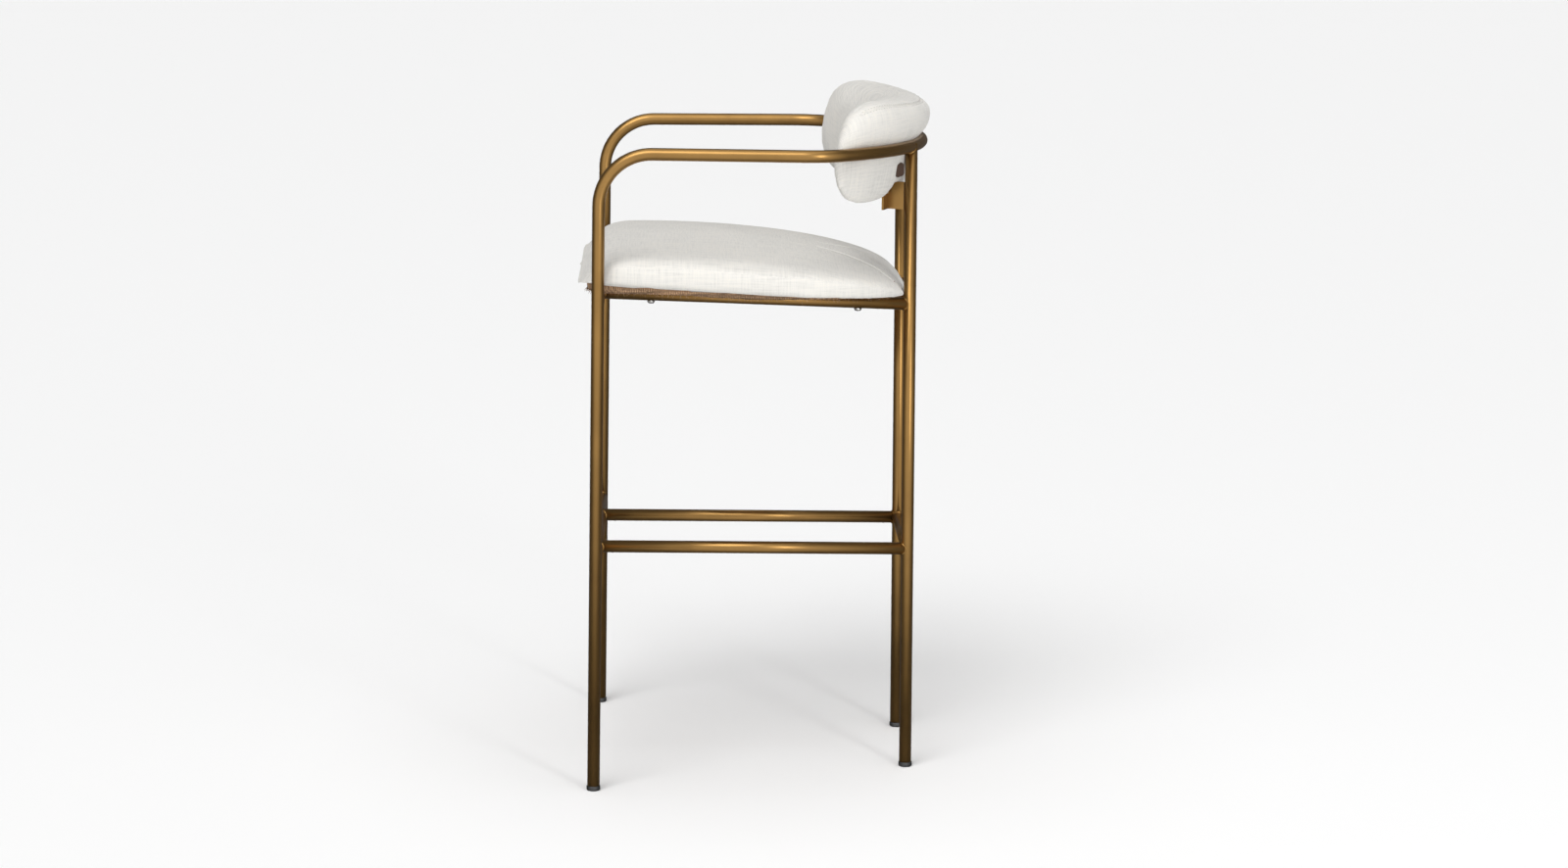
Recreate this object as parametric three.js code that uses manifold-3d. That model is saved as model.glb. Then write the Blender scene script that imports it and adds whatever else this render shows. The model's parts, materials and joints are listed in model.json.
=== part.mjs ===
// Bar stool with arms, a curved backrest pad and an H-frame footrest.
//
// Units are millimetres.  +Z is up, -Y is the front of the stool and +X is the
// sitter's left.  The origin is on the floor, in the middle of the stool.
// The frame is bent and welded round tube.  Pieces that touch are kept GAP apart.

import * as THREE from 'three';
import { mergeVertices } from 'three/addons/utils/BufferGeometryUtils.js';
import Module from 'manifold-3d';

const wasm = await Module();
wasm.setup();

// ---------------------------------------------------------------- dimensions

const GAP = 0.3;

// Round tube that the whole frame is made from.
const TUBE_DIAMETER = 18;
const TUBE_WALL = 1.5;
const TUBE_SIDES = 20;
const BORE_SIDES = 12;

// One bent tube makes both front legs, both arms and the rail behind the back.
const FRONT_HALF_WIDTH = 262;
const FRONT_FOOT_Y = -222;
const FRONT_TOP_Y = -218;
const ARM_HEIGHT = 923;
const ARM_BEND_RADIUS = 75;
const REAR_FLARE = 15;
const CORNER_RADIUS = 85;
const BACK_RADIUS = 330;
const BACK_Y = 251.5;
const STEPS_PER_BEND = 8;
const STEPS_PER_BACK = 16;

// Two straight rear legs stand closer together, under the rail.
const REAR_HALF_SPACING = 118;
const REAR_FOOT_Y = 238;
const REAR_TOP_Y = 230;

// Footrest and seat frames: a cross tube in front, two side tubes and one cross tube behind.
const FOOTREST_HEIGHT = 330;
const SEAT_RAIL_HEIGHT = 706;
const SEAT_SLOPE = 0.028;
const VENT_DIAMETER = 4;
const VENT_INSET = 20;

// Plastic end caps plugged into the four legs.
const CAP_DIAMETER = 20;
const CAP_HEIGHT = 7;
const CAP_EDGE = 2.5;
const CAP_PLUG_LENGTH = 16;

// Seat: spacers on the side rails, a plywood board, a cushion, a dust cover and screws.
const SPACER_DIAMETER = 20;
const SPACER_HEIGHT = 8;
const SPACER_INSET = 75;
const BOARD_THICKNESS = 12;
const BOARD_INSET = 22;
const DUST_COVER_THICKNESS = 1.2;
const DUST_COVER_INSET = 8;
const SEAT_SIDE_INSET = 12;
const SEAT_REAR_HALF_WIDTH = 120;
const SEAT_CORNER = 60;
const SEAT_FRONT_BOW = 12;
const SEAT_TAPER_START_Y = 40;
const SEAT_TAPER_PULL = 110;
const SEAT_REAR_ROUND = 60;
const SEAT_REAR_FLAT_INSET = 20;
const SEAT_OVERHANG = 34;
const SEAT_REAR_Y = 228;
const SEAT_THICKNESS = 54;
const SEAT_REAR_DROP = 30;
const SEAT_FALL_START_Y = -120;
const SEAT_EDGE_ROUND = 12;
const LEG_CLEARANCE = 3;
const SCREW_DIAMETER = 6;
const SCREW_CLEARANCE = 0.8;
const SCREW_HEAD_DIAMETER = 11;
const SCREW_HEAD_HEIGHT = 3.5;
const SCREW_DEPTH_IN_BOARD = 9;

// Backrest: a padded shell inside the rail, bent to the rail's curve.
const PAD_ABOVE_RAIL = 74;
const PAD_BELOW_RAIL = 81;
const PAD_THICKNESS = 91;
const PAD_OVERHANG = 8;
const PAD_RAIL_CLEARANCE = 1.5;
const PAD_END_ANGLE = 51;
const PAD_END_THIN = 0.4;
const PAD_END_SCALE = 0.4;
const PAD_END_LENGTH = 0.16;
const PAD_WIDEST_BELOW_RAIL = 25;
const PAD_STEPS = 26;
const SHELL_THICKNESS = 7;
const SHELL_DEPTH = 42;
const SHELL_ABOVE_RAIL = 42;
const SHELL_BELOW_RAIL = 71;
const SHELL_END_ANGLE = 38;
const SHELL_SLOT_ANGLE = 39;

// Sheet-metal brackets between the rear legs and the backrest shell.  They hang down from
// their screws, so that they show under the pad.
const BRACKET_HEIGHT = 40;
const BRACKET_DROP = 27;
const BRACKET_THICKNESS = 3;
const BRACKET_FLANGE = 24;
const BRACKET_DEPTH = 36;
const BRACKET_BELOW_RAIL = 65;
const BRACKET_SCREW_DIAMETER = 5;
const BRACKET_SCREW_LENGTH = 14;
const BRACKET_HEAD_DIAMETER = 9;
const BRACKET_HEAD_HEIGHT = 3;

// ----------------------------------------------------------------- materials

const material = (color, roughness, metalness) =>
  new THREE.MeshStandardMaterial({ color, roughness, metalness });
const BRASS_PAINT = [0x8c692d, 0.35, 0.8];
const LINEN = [0xe2dfd9, 0.95, 0];
const BURLAP = [0xa88b66, 0.95, 0];
const PLYWOOD = [0xc29c6a, 0.7, 0];
const BLACK_PLASTIC = [0x171717, 0.5, 0];
const SCREW_STEEL = [0xb9bcbf, 0.35, 0.9];

// -------------------------------------------------------------- solid helpers

const tubeRadius = TUBE_DIAMETER / 2;

function toManifold(geometry) {
  const plain = geometry.clone();
  plain.deleteAttribute('normal');
  plain.deleteAttribute('uv');
  const merged = mergeVertices(plain, 1e-4);
  const vertProperties = new Float32Array(merged.attributes.position.array);
  const triVerts = new Uint32Array(merged.index.array);
  return new wasm.Manifold(new wasm.Mesh({ numProp: 3, vertProperties, triVerts }));
}

function fromManifold(solid) {
  const mesh = solid.getMesh();
  const geometry = new THREE.BufferGeometry();
  geometry.setAttribute('position', new THREE.BufferAttribute(mesh.vertProperties, 3));
  geometry.setIndex(new THREE.BufferAttribute(mesh.triVerts, 1));
  geometry.computeVertexNormals();
  return geometry;
}

function cut(geometry, tools) {
  let solid = toManifold(geometry);
  for (const tool of tools) {
    solid = solid.subtract(toManifold(tool));
  }
  return fromManifold(solid);
}

// A path given by exact points and directions, so that a straight stretch is one step.
class StationPath extends THREE.Curve {
  constructor(stations) {
    super();
    this.stations = stations;
  }

  station(t) {
    return this.stations[Math.round(t * (this.stations.length - 1))];
  }

  getPoint(t, target = new THREE.Vector3()) {
    return target.copy(this.station(t).point);
  }

  getTangent(t, target = new THREE.Vector3()) {
    return target.copy(this.station(t).tangent);
  }

  getUtoTmapping(u) {
    return u;
  }
}

// Corner points joined by straight stretches, each inner corner rounded to its own radius.
function roundedPath(corners) {
  const stations = [];
  const last = corners.length - 1;
  const direction = (from, to) => to.point.clone().sub(from.point).normalize();
  stations.push({ point: corners[0].point, tangent: direction(corners[0], corners[1]) });
  for (let i = 1; i < last; i++) {
    const { point, radius, steps } = corners[i];
    const before = direction(corners[i - 1], corners[i]);
    const after = direction(corners[i], corners[i + 1]);
    const turn = before.angleTo(after);
    const axis = before.clone().cross(after).normalize();
    const start = point.clone().addScaledVector(before, -radius * Math.tan(turn / 2));
    const inward = axis.clone().cross(before);
    const centre = start.clone().addScaledVector(inward, radius);
    const touching = stations[stations.length - 1].point.distanceTo(start) < GAP;
    for (let k = touching ? 1 : 0; k <= steps; k++) {
      const angle = (turn * k) / steps;
      const arm = inward.clone().multiplyScalar(-radius).applyAxisAngle(axis, angle);
      const tangent = before.clone().applyAxisAngle(axis, angle);
      stations.push({ point: centre.clone().add(arm), tangent });
    }
  }
  stations.push({ point: corners[last].point, tangent: direction(corners[last - 1], corners[last]) });
  return new StationPath(stations);
}

const straightPath = (from, to) => roundedPath([{ point: from }, { point: to }]);

function circlePoints(radius, sides) {
  const points = [];
  for (let i = 0; i < sides; i++) {
    const angle = (2 * Math.PI * (i + 0.5)) / sides;
    points.push(new THREE.Vector2(radius * Math.cos(angle), radius * Math.sin(angle)));
  }
  return points;
}

function sweep(path, radius, boreRadius = 0) {
  const section = new THREE.Shape(circlePoints(radius, TUBE_SIDES));
  if (boreRadius > 0) {
    section.holes.push(new THREE.Path(circlePoints(boreRadius, BORE_SIDES)));
  }
  return new THREE.ExtrudeGeometry(section, { steps: path.stations.length - 1, extrudePath: path });
}

const hollowTube = (path) => sweep(path, tubeRadius, tubeRadius - TUBE_WALL);
const tubeClearance = (path) => sweep(path, tubeRadius + GAP);

function uprightCylinder(diameter, bottom, top, x, y, sides = TUBE_SIDES) {
  const geometry = new THREE.CylinderGeometry(diameter / 2, diameter / 2, top - bottom, sides);
  geometry.rotateX(Math.PI / 2);
  geometry.translate(x, y, (top + bottom) / 2);
  return geometry;
}

// ------------------------------------------------------------- places in space

const at = (x, y, z) => new THREE.Vector3(x, y, z);
const mix = (from, to, share) => from + (to - from) * share;
const frontLegY = (z) => mix(FRONT_FOOT_Y, FRONT_TOP_Y, z / ARM_HEIGHT);
const rearLegY = (z) => mix(REAR_FOOT_Y, REAR_TOP_Y, z / ARM_HEIGHT);
const backCentreY = BACK_Y - BACK_RADIUS;
const railY = (x) => backCentreY + Math.sqrt(BACK_RADIUS ** 2 - x ** 2);

// The corner arc touches the back arc, and reaches out to the rear half width.
const rearHalfWidth = FRONT_HALF_WIDTH + REAR_FLARE;
const cornerCentreX = rearHalfWidth - CORNER_RADIUS;
const cornerCentreY = backCentreY + Math.sqrt((BACK_RADIUS - CORNER_RADIUS) ** 2 - cornerCentreX ** 2);
const cornerTurn = Math.atan2(cornerCentreY - backCentreY, cornerCentreX);
const backApexY = backCentreY + BACK_RADIUS / Math.sin(cornerTurn);

// The arm runs from above the front leg as a tangent to the corner arc, as far as the line that
// touches both arcs.
const armStart = new THREE.Vector2(FRONT_HALF_WIDTH, FRONT_TOP_Y);
const toCorner = new THREE.Vector2(cornerCentreX, cornerCentreY).sub(armStart);
const armAngle = toCorner.angle() - Math.asin(CORNER_RADIUS / toCorner.length());
const armDirection = new THREE.Vector2(Math.cos(armAngle), Math.sin(armAngle));
const backNormal = new THREE.Vector2(Math.cos(cornerTurn), Math.sin(cornerTurn));
const startOffset = armStart.x * backNormal.x + (armStart.y - backCentreY) * backNormal.y;
const armReach = (BACK_RADIUS - startOffset) / armDirection.dot(backNormal);
const armEnd = armStart.clone().addScaledVector(armDirection, armReach);

const footZ = CAP_HEIGHT + GAP;

function armLoopPath() {
  const corners = [];
  const halfLoop = (side) => [
    { point: at(side * FRONT_HALF_WIDTH, frontLegY(footZ), footZ) },
    {
      point: at(side * armStart.x, armStart.y, ARM_HEIGHT),
      radius: ARM_BEND_RADIUS,
      steps: STEPS_PER_BEND,
    },
    { point: at(side * armEnd.x, armEnd.y, ARM_HEIGHT), radius: CORNER_RADIUS, steps: STEPS_PER_BEND },
  ];
  corners.push(...halfLoop(1));
  corners.push({ point: at(0, backApexY, ARM_HEIGHT), radius: BACK_RADIUS, steps: STEPS_PER_BACK });
  corners.push(...halfLoop(-1).reverse());
  return roundedPath(corners);
}

const armLoop = armLoopPath();
const rearLegPath = (side) => straightPath(
  at(side * REAR_HALF_SPACING, rearLegY(footZ), footZ),
  at(side * REAR_HALF_SPACING, rearLegY(ARM_HEIGHT), ARM_HEIGHT),
);

// Height of a frame's side tubes at a depth y: level for the footrest, falling for the seat.
const frameHeight = (height, slope, y) => height - slope * (y - frontLegY(height));

function crossPath(halfWidth, y, z) {
  return straightPath(at(-halfWidth, y, z), at(halfWidth, y, z));
}

function frontCrossPath(height) {
  return crossPath(FRONT_HALF_WIDTH, frontLegY(height), height);
}

function sidePath(side, height, slope) {
  const x = side * REAR_HALF_SPACING;
  const rearY = rearLegY(height);
  return straightPath(
    at(x, frontLegY(height), height),
    at(x, rearY, frameHeight(height, slope, rearY)),
  );
}

function rearCrossPath(height, slope) {
  const z = frameHeight(height, slope, rearLegY(height));
  return crossPath(REAR_HALF_SPACING, rearLegY(z), z);
}

// --------------------------------------------------------------------- frame

const stool = new THREE.Group();
const names = [[1, 'left'], [-1, 'right']];

function addMesh(parent, name, geometry, look) {
  const mesh = new THREE.Mesh(geometry, material(...look));
  mesh.name = name;
  parent.add(mesh);
  return mesh;
}

function addFrameTubes() {
  const loopClearance = tubeClearance(armLoop);
  addMesh(stool, 'arm_loop_tube', hollowTube(armLoop), BRASS_PAINT);
  for (const [side, word] of names) {
    addMesh(stool, `rear_leg_${word}`, cut(hollowTube(rearLegPath(side)), [loopClearance]), BRASS_PAINT);
  }
}

// Both frames: cross tubes run from leg to leg, side tubes from the front cross tube to a rear leg.
function addSubFrame(prefix, height, slope, sideHoles) {
  const legs = names.map(([side]) => tubeClearance(rearLegPath(side)));
  const front = frontCrossPath(height);
  addMesh(stool, `${prefix}_front_tube`, cut(hollowTube(front), [tubeClearance(armLoop)]), BRASS_PAINT);
  names.forEach(([side, word], i) => {
    const tools = [tubeClearance(front), legs[i], ...sideHoles(side)];
    const tube = cut(hollowTube(sidePath(side, height, slope)), tools);
    addMesh(stool, `${prefix}_side_tube_${word}`, tube, BRASS_PAINT);
  });
  const sides = names.map(([side]) => tubeClearance(sidePath(side, height, slope)));
  const rear = hollowTube(rearCrossPath(height, slope));
  addMesh(stool, `${prefix}_rear_tube`, cut(rear, [...legs, ...sides]), BRASS_PAINT);
}

// Small vent holes on the underside of each footrest side tube, near both ends.
function ventHoles(side) {
  const x = side * REAR_HALF_SPACING;
  const bottom = FOOTREST_HEIGHT - TUBE_DIAMETER;
  const inset = tubeRadius + VENT_INSET;
  const places = [frontLegY(FOOTREST_HEIGHT) + inset, rearLegY(FOOTREST_HEIGHT) - inset];
  return places.map((y) => uprightCylinder(VENT_DIAMETER, bottom, FOOTREST_HEIGHT, x, y, BORE_SIDES));
}

// ---------------------------------------------------------------- seat screws

const seatRailAt = (y) => frameHeight(SEAT_RAIL_HEIGHT, SEAT_SLOPE, y);
const seatScrewPlaces = [
  ['front', frontLegY(SEAT_RAIL_HEIGHT) + SPACER_INSET],
  ['rear', rearLegY(SEAT_RAIL_HEIGHT) - SPACER_INSET],
];
const screwHoleDiameter = SCREW_DIAMETER + 2 * SCREW_CLEARANCE;

function screwHoles(side) {
  return seatScrewPlaces.map(([, y]) => uprightCylinder(
    screwHoleDiameter, seatRailAt(y) - TUBE_DIAMETER, seatRailAt(y) + TUBE_DIAMETER,
    side * REAR_HALF_SPACING, y, BORE_SIDES,
  ));
}

// ----------------------------------------------------------------- foot caps

function footCap() {
  const radius = CAP_DIAMETER / 2;
  const plug = (tubeRadius - TUBE_WALL) * Math.cos(Math.PI / BORE_SIDES) - 2 * GAP;
  const profile = [
    [0, 0],
    [radius - CAP_EDGE, 0],
    [radius - CAP_EDGE * (1 - Math.SQRT1_2), CAP_EDGE * (1 - Math.SQRT1_2)],
    [radius, CAP_EDGE],
    [radius, CAP_HEIGHT],
    [plug, CAP_HEIGHT],
    [plug, CAP_HEIGHT + CAP_PLUG_LENGTH],
    [0, CAP_HEIGHT + CAP_PLUG_LENGTH],
  ];
  const geometry = new THREE.LatheGeometry(profile.map(([r, z]) => new THREE.Vector2(r, z)), TUBE_SIDES);
  geometry.rotateX(Math.PI / 2);
  return geometry;
}

function addFootCaps() {
  const places = [
    ['front', FRONT_HALF_WIDTH, frontLegY(0)],
    ['rear', REAR_HALF_SPACING, rearLegY(0)],
  ];
  for (const [end, x, y] of places) {
    for (const [side, word] of names) {
      addMesh(stool, `foot_cap_${end}_${word}`, footCap(), BLACK_PLASTIC).position.set(side * x, y, 0);
    }
  }
}

// ---------------------------------------------------------------------- seat

// The seat is drawn level with its board's underside at z = 0, then tilted with the rails.
const seatFrontY = frontLegY(SEAT_RAIL_HEIGHT) - SEAT_OVERHANG;
const spacerTop = tubeRadius + GAP + SPACER_HEIGHT;
const boardBottom = spacerTop + GAP;
const cushionBottom = boardBottom + BOARD_THICKNESS + GAP;

// D-shaped outline: a gently bowed front, full sides, and sides that round in to the rear.
function seatOutline(inset) {
  const half = FRONT_HALF_WIDTH - SEAT_SIDE_INSET - inset;
  const flat = SEAT_REAR_HALF_WIDTH - SEAT_REAR_FLAT_INSET - inset;
  const round = SEAT_REAR_HALF_WIDTH + SEAT_REAR_ROUND - inset;
  const front = seatFrontY + inset;
  const rear = SEAT_REAR_Y - inset;
  const shoulder = half - SEAT_CORNER / 4;
  const bowed = front + SEAT_FRONT_BOW;
  const pull = SEAT_TAPER_START_Y + SEAT_TAPER_PULL;
  const shape = new THREE.Shape();
  shape.moveTo(0, front);
  shape.quadraticCurveTo(half - SEAT_CORNER, front, shoulder, bowed);
  shape.quadraticCurveTo(half, bowed + SEAT_CORNER / 4, half, front + SEAT_CORNER);
  shape.lineTo(half, SEAT_TAPER_START_Y);
  shape.bezierCurveTo(half, pull, round, rear, flat, rear);
  shape.lineTo(-flat, rear);
  shape.bezierCurveTo(-round, rear, -half, pull, -half, SEAT_TAPER_START_Y);
  shape.lineTo(-half, front + SEAT_CORNER);
  shape.quadraticCurveTo(-half, bowed + SEAT_CORNER / 4, -shoulder, bowed);
  shape.quadraticCurveTo(-half + SEAT_CORNER, front, 0, front);
  return shape;
}

// Room for the four legs, where they pass the sides and the back of the seat.
function legClearances(extra) {
  const bottom = boardBottom - SPACER_HEIGHT;
  const top = cushionBottom + SEAT_THICKNESS + SPACER_HEIGHT;
  const places = [
    [FRONT_HALF_WIDTH, frontLegY(SEAT_RAIL_HEIGHT)],
    [REAR_HALF_SPACING, rearLegY(SEAT_RAIL_HEIGHT)],
  ];
  return places.flatMap(([x, y]) => names.map(([side]) => uprightCylinder(
    TUBE_DIAMETER + 2 * extra, bottom, top, side * x, y,
  )));
}

function seatCushion() {
  const geometry = new THREE.ExtrudeGeometry(seatOutline(SEAT_EDGE_ROUND), {
    depth: SEAT_THICKNESS - 2 * SEAT_EDGE_ROUND,
    steps: 1,
    curveSegments: 8,
    bevelSize: SEAT_EDGE_ROUND,
    bevelThickness: SEAT_EDGE_ROUND,
    bevelSegments: 3,
  });
  geometry.translate(0, 0, SEAT_EDGE_ROUND);
  const position = geometry.attributes.position;
  const run = SEAT_REAR_Y - SEAT_FALL_START_Y;
  for (let i = 0; i < position.count; i++) {
    const share = THREE.MathUtils.clamp((position.getY(i) - SEAT_FALL_START_Y) / run, 0, 1);
    const thinner = 1 - (SEAT_REAR_DROP / SEAT_THICKNESS) * (1 - Math.sqrt(1 - share ** 2));
    position.setZ(i, cushionBottom + position.getZ(i) * thinner);
  }
  return cut(geometry, legClearances(LEG_CLEARANCE));
}

function flatPanel(outline, thickness, bottom) {
  const geometry = new THREE.ExtrudeGeometry(outline, {
    depth: thickness, steps: 1, curveSegments: 6, bevelEnabled: false,
  });
  geometry.translate(0, 0, bottom);
  return geometry;
}

function seatScrew() {
  const headTop = -tubeRadius - GAP;
  const headBottom = headTop - SCREW_HEAD_HEIGHT;
  const tip = boardBottom + SCREW_DEPTH_IN_BOARD;
  const head = SCREW_HEAD_DIAMETER / 2;
  const shank = SCREW_DIAMETER / 2;
  const profile = [
    [0, headBottom],
    [head * 0.7, headBottom],
    [head, headBottom + SCREW_HEAD_HEIGHT * 0.6],
    [head, headTop],
    [shank, headTop],
    [shank, tip - shank],
    [0, tip],
  ];
  const geometry = new THREE.LatheGeometry(profile.map(([r, z]) => new THREE.Vector2(r, z)), 16);
  geometry.rotateX(Math.PI / 2);
  return geometry;
}

function seatSpacer() {
  const hole = uprightCylinder(screwHoleDiameter, -SPACER_HEIGHT, 4 * SPACER_HEIGHT, 0, 0, BORE_SIDES);
  return cut(uprightCylinder(SPACER_DIAMETER, tubeRadius + GAP, spacerTop, 0, 0), [hole]);
}

function addSeat() {
  const seat = new THREE.Group();
  const pivotY = frontLegY(SEAT_RAIL_HEIGHT);
  seat.position.set(0, pivotY, SEAT_RAIL_HEIGHT);
  seat.rotation.x = -Math.atan(SEAT_SLOPE);
  stool.add(seat);
  const level = new THREE.Group();
  level.position.y = -pivotY;
  seat.add(level);

  const fixings = [];
  for (const [end, y] of seatScrewPlaces) {
    for (const [side, word] of names) {
      fixings.push({ name: `${end}_${word}`, x: side * REAR_HALF_SPACING, y });
    }
  }
  const boardHoles = fixings.map(({ x, y }) => uprightCylinder(
    screwHoleDiameter, 0, boardBottom + SCREW_DEPTH_IN_BOARD + GAP, x, y, BORE_SIDES,
  ));
  const board = flatPanel(seatOutline(BOARD_INSET), BOARD_THICKNESS, boardBottom);
  addMesh(level, 'seat_board', cut(board, [...legClearances(2 * LEG_CLEARANCE), ...boardHoles]), PLYWOOD);
  addMesh(level, 'seat_cushion', seatCushion(), LINEN);

  const coverHoles = fixings.map(({ x, y }) => uprightCylinder(
    SPACER_DIAMETER + 2, 0, boardBottom + BOARD_THICKNESS, x, y,
  ));
  const coverBottom = boardBottom - GAP - DUST_COVER_THICKNESS;
  const cover = flatPanel(seatOutline(BOARD_INSET + DUST_COVER_INSET), DUST_COVER_THICKNESS, coverBottom);
  addMesh(level, 'seat_dust_cover', cut(cover, coverHoles), BURLAP);

  for (const { name, x, y } of fixings) {
    addMesh(level, `seat_spacer_${name}`, seatSpacer(), BLACK_PLASTIC).position.set(x, y, 0);
    addMesh(level, `seat_screw_${name}`, seatScrew(), SCREW_STEEL).position.set(x, y, 0);
  }
}

// ------------------------------------------------------------------ backrest

const padWaist = tubeRadius + PAD_RAIL_CLEARANCE;

// The backrest is drawn straight: x is the distance in front of the rail's axis, y is the height
// above the rail and z runs along the rail.  It is then bent round the back arc's centre.
// Towards its ends it thins to endThin of its thickness, then closes to endScale over endLength.
function bendRoundBack(geometry, endAngle, endThin = 1, endScale = 1, endLength = 1) {
  const position = geometry.attributes.position;
  const halfAngle = THREE.MathUtils.degToRad(endAngle);
  const widest = -PAD_WIDEST_BELOW_RAIL;
  for (let i = 0; i < position.count; i++) {
    const share = position.getZ(i);
    const fromEnd = Math.min(share, 1 - share) / endLength;
    const closing = Math.sqrt(1 - (1 - Math.min(fromEnd, 1)) ** 2);
    const round = mix(endScale, 1, closing);
    const thin = mix(1, endThin, (1 - 2 * share) ** 2);
    const { x, y } = backRailPoint((1 - 2 * share) * halfAngle);
    const thinned = padWaist + (position.getX(i) - padWaist) * thin;
    const centreIn = padWaist + (PAD_THICKNESS / 2 - padWaist) * thin;
    const inward = centreIn + (thinned - centreIn) * round;
    const up = widest + (position.getY(i) - widest) * round;
    position.setXYZ(i, x.point - x.normal * inward, y.point - y.normal * inward, ARM_HEIGHT + up);
  }
  return geometry;
}

// A point on the rail's centreline and its outward direction, at an angle from straight back.
function backRailPoint(angle) {
  const turn = Math.PI / 2 - cornerTurn;
  const side = Math.sign(angle);
  const size = Math.abs(angle);
  const onBack = size <= turn;
  const centreX = onBack ? 0 : side * cornerCentreX;
  const centreY = onBack ? backCentreY : cornerCentreY;
  const radius = onBack ? BACK_RADIUS : CORNER_RADIUS;
  const normalX = Math.sin(angle);
  const normalY = Math.cos(angle);
  return {
    x: { point: centreX + radius * normalX, normal: normalX },
    y: { point: centreY + radius * normalY, normal: normalY },
  };
}

// The pad's section: a full upper lobe, a waist where the rail passes and a lower lobe whose
// back slants in.  Points are shares of the thickness, the rise and the drop from the rail.
function padSection() {
  const thick = PAD_THICKNESS;
  const top = PAD_ABOVE_RAIL;
  const bottom = -PAD_BELOW_RAIL;
  const shape = new THREE.Shape();
  shape.moveTo(padWaist, 0);
  shape.lineTo(padWaist, padWaist * 0.6);
  shape.lineTo(padWaist * 0.5, padWaist * 1.1);
  shape.quadraticCurveTo(-PAD_OVERHANG, padWaist * 1.4, -PAD_OVERHANG, top * 0.55);
  shape.quadraticCurveTo(-PAD_OVERHANG, top, thick * 0.45, top);
  shape.quadraticCurveTo(thick * 0.97, top, thick, bottom * 0.1);
  shape.quadraticCurveTo(thick, bottom, thick * 0.54, bottom);
  shape.quadraticCurveTo(thick * 0.32, bottom, thick * 0.24, bottom * 0.62);
  shape.quadraticCurveTo(padWaist * 1.25, bottom * 0.3, padWaist * 1.2, -padWaist);
  return shape;
}

function straightPad(shape, steps) {
  return new THREE.ExtrudeGeometry(shape, { depth: 1, steps, curveSegments: 5, bevelEnabled: false });
}

// Flat-sided strip of the backrest, reaching above and below the rail's axis.
function shellSection(clear, above, below) {
  const near = SHELL_DEPTH - clear;
  const far = SHELL_DEPTH + SHELL_THICKNESS + clear;
  return new THREE.Shape([
    new THREE.Vector2(near, -below),
    new THREE.Vector2(far, -below),
    new THREE.Vector2(far, above),
    new THREE.Vector2(near, above),
  ]);
}

const bentStrip = (section, endAngle) => bendRoundBack(straightPad(section, PAD_STEPS), endAngle);

// A horizontal screw: its tip is at the origin and its head is behind it, along +Y.
function bracketScrew() {
  const head = BRACKET_HEAD_DIAMETER / 2;
  const shank = BRACKET_SCREW_DIAMETER / 2;
  const profile = [
    [0, 0],
    [shank, shank],
    [shank, BRACKET_SCREW_LENGTH],
    [head, BRACKET_SCREW_LENGTH],
    [head * 0.8, BRACKET_SCREW_LENGTH + BRACKET_HEAD_HEIGHT],
    [0, BRACKET_SCREW_LENGTH + BRACKET_HEAD_HEIGHT],
  ];
  return new THREE.LatheGeometry(profile.map(([r, z]) => new THREE.Vector2(r, z)), 16);
}

// A screw hole along Y, in the frame of bracketScrew.
function bracketScrewHole() {
  const radius = BRACKET_SCREW_DIAMETER / 2 + SCREW_CLEARANCE;
  const length = BRACKET_SCREW_LENGTH + BRACKET_HEAD_HEIGHT;
  const geometry = new THREE.CylinderGeometry(radius, radius, length, BORE_SIDES);
  geometry.translate(0, length / 2 - SCREW_CLEARANCE, 0);
  return geometry;
}

// L-shaped in plan: a flange against the back of the pad and a web to the rear leg.
function bracketPlate(side) {
  const half = BRACKET_THICKNESS / 2;
  const legFace = -Math.sqrt((tubeRadius + GAP) ** 2 - half ** 2) - GAP;
  const outline = [
    [-half, -BRACKET_DEPTH],
    [BRACKET_FLANGE - half, -BRACKET_DEPTH],
    [BRACKET_FLANGE - half, BRACKET_THICKNESS - BRACKET_DEPTH],
    [half, BRACKET_THICKNESS - BRACKET_DEPTH],
    [half, legFace],
    [-half, legFace],
  ];
  const shape = new THREE.Shape(outline.map(([x, y]) => new THREE.Vector2(side * x, y)));
  return flatPanel(shape, BRACKET_HEIGHT, -BRACKET_DROP);
}

// Where the bracket's flange and screw head press into the pad.
function bracketDent(side) {
  const width = BRACKET_FLANGE + 2 * GAP;
  const geometry = new THREE.BoxGeometry(width, BRACKET_DEPTH, BRACKET_HEIGHT + 2 * GAP);
  const middle = (BRACKET_FLANGE - BRACKET_THICKNESS) / 2;
  geometry.translate(side * middle, -BRACKET_DEPTH / 2 - GAP, BRACKET_HEIGHT / 2 - BRACKET_DROP);
  return geometry;
}

// Frame at a rear leg's top: X runs along the rail and Y points out of the back.
function bracketGroup(side) {
  const angle = Math.asin((side * REAR_HALF_SPACING) / BACK_RADIUS);
  const group = new THREE.Group();
  group.position.set(side * REAR_HALF_SPACING, railY(REAR_HALF_SPACING), ARM_HEIGHT - BRACKET_BELOW_RAIL);
  group.rotation.z = -angle;
  group.updateMatrix();
  return group;
}

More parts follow.
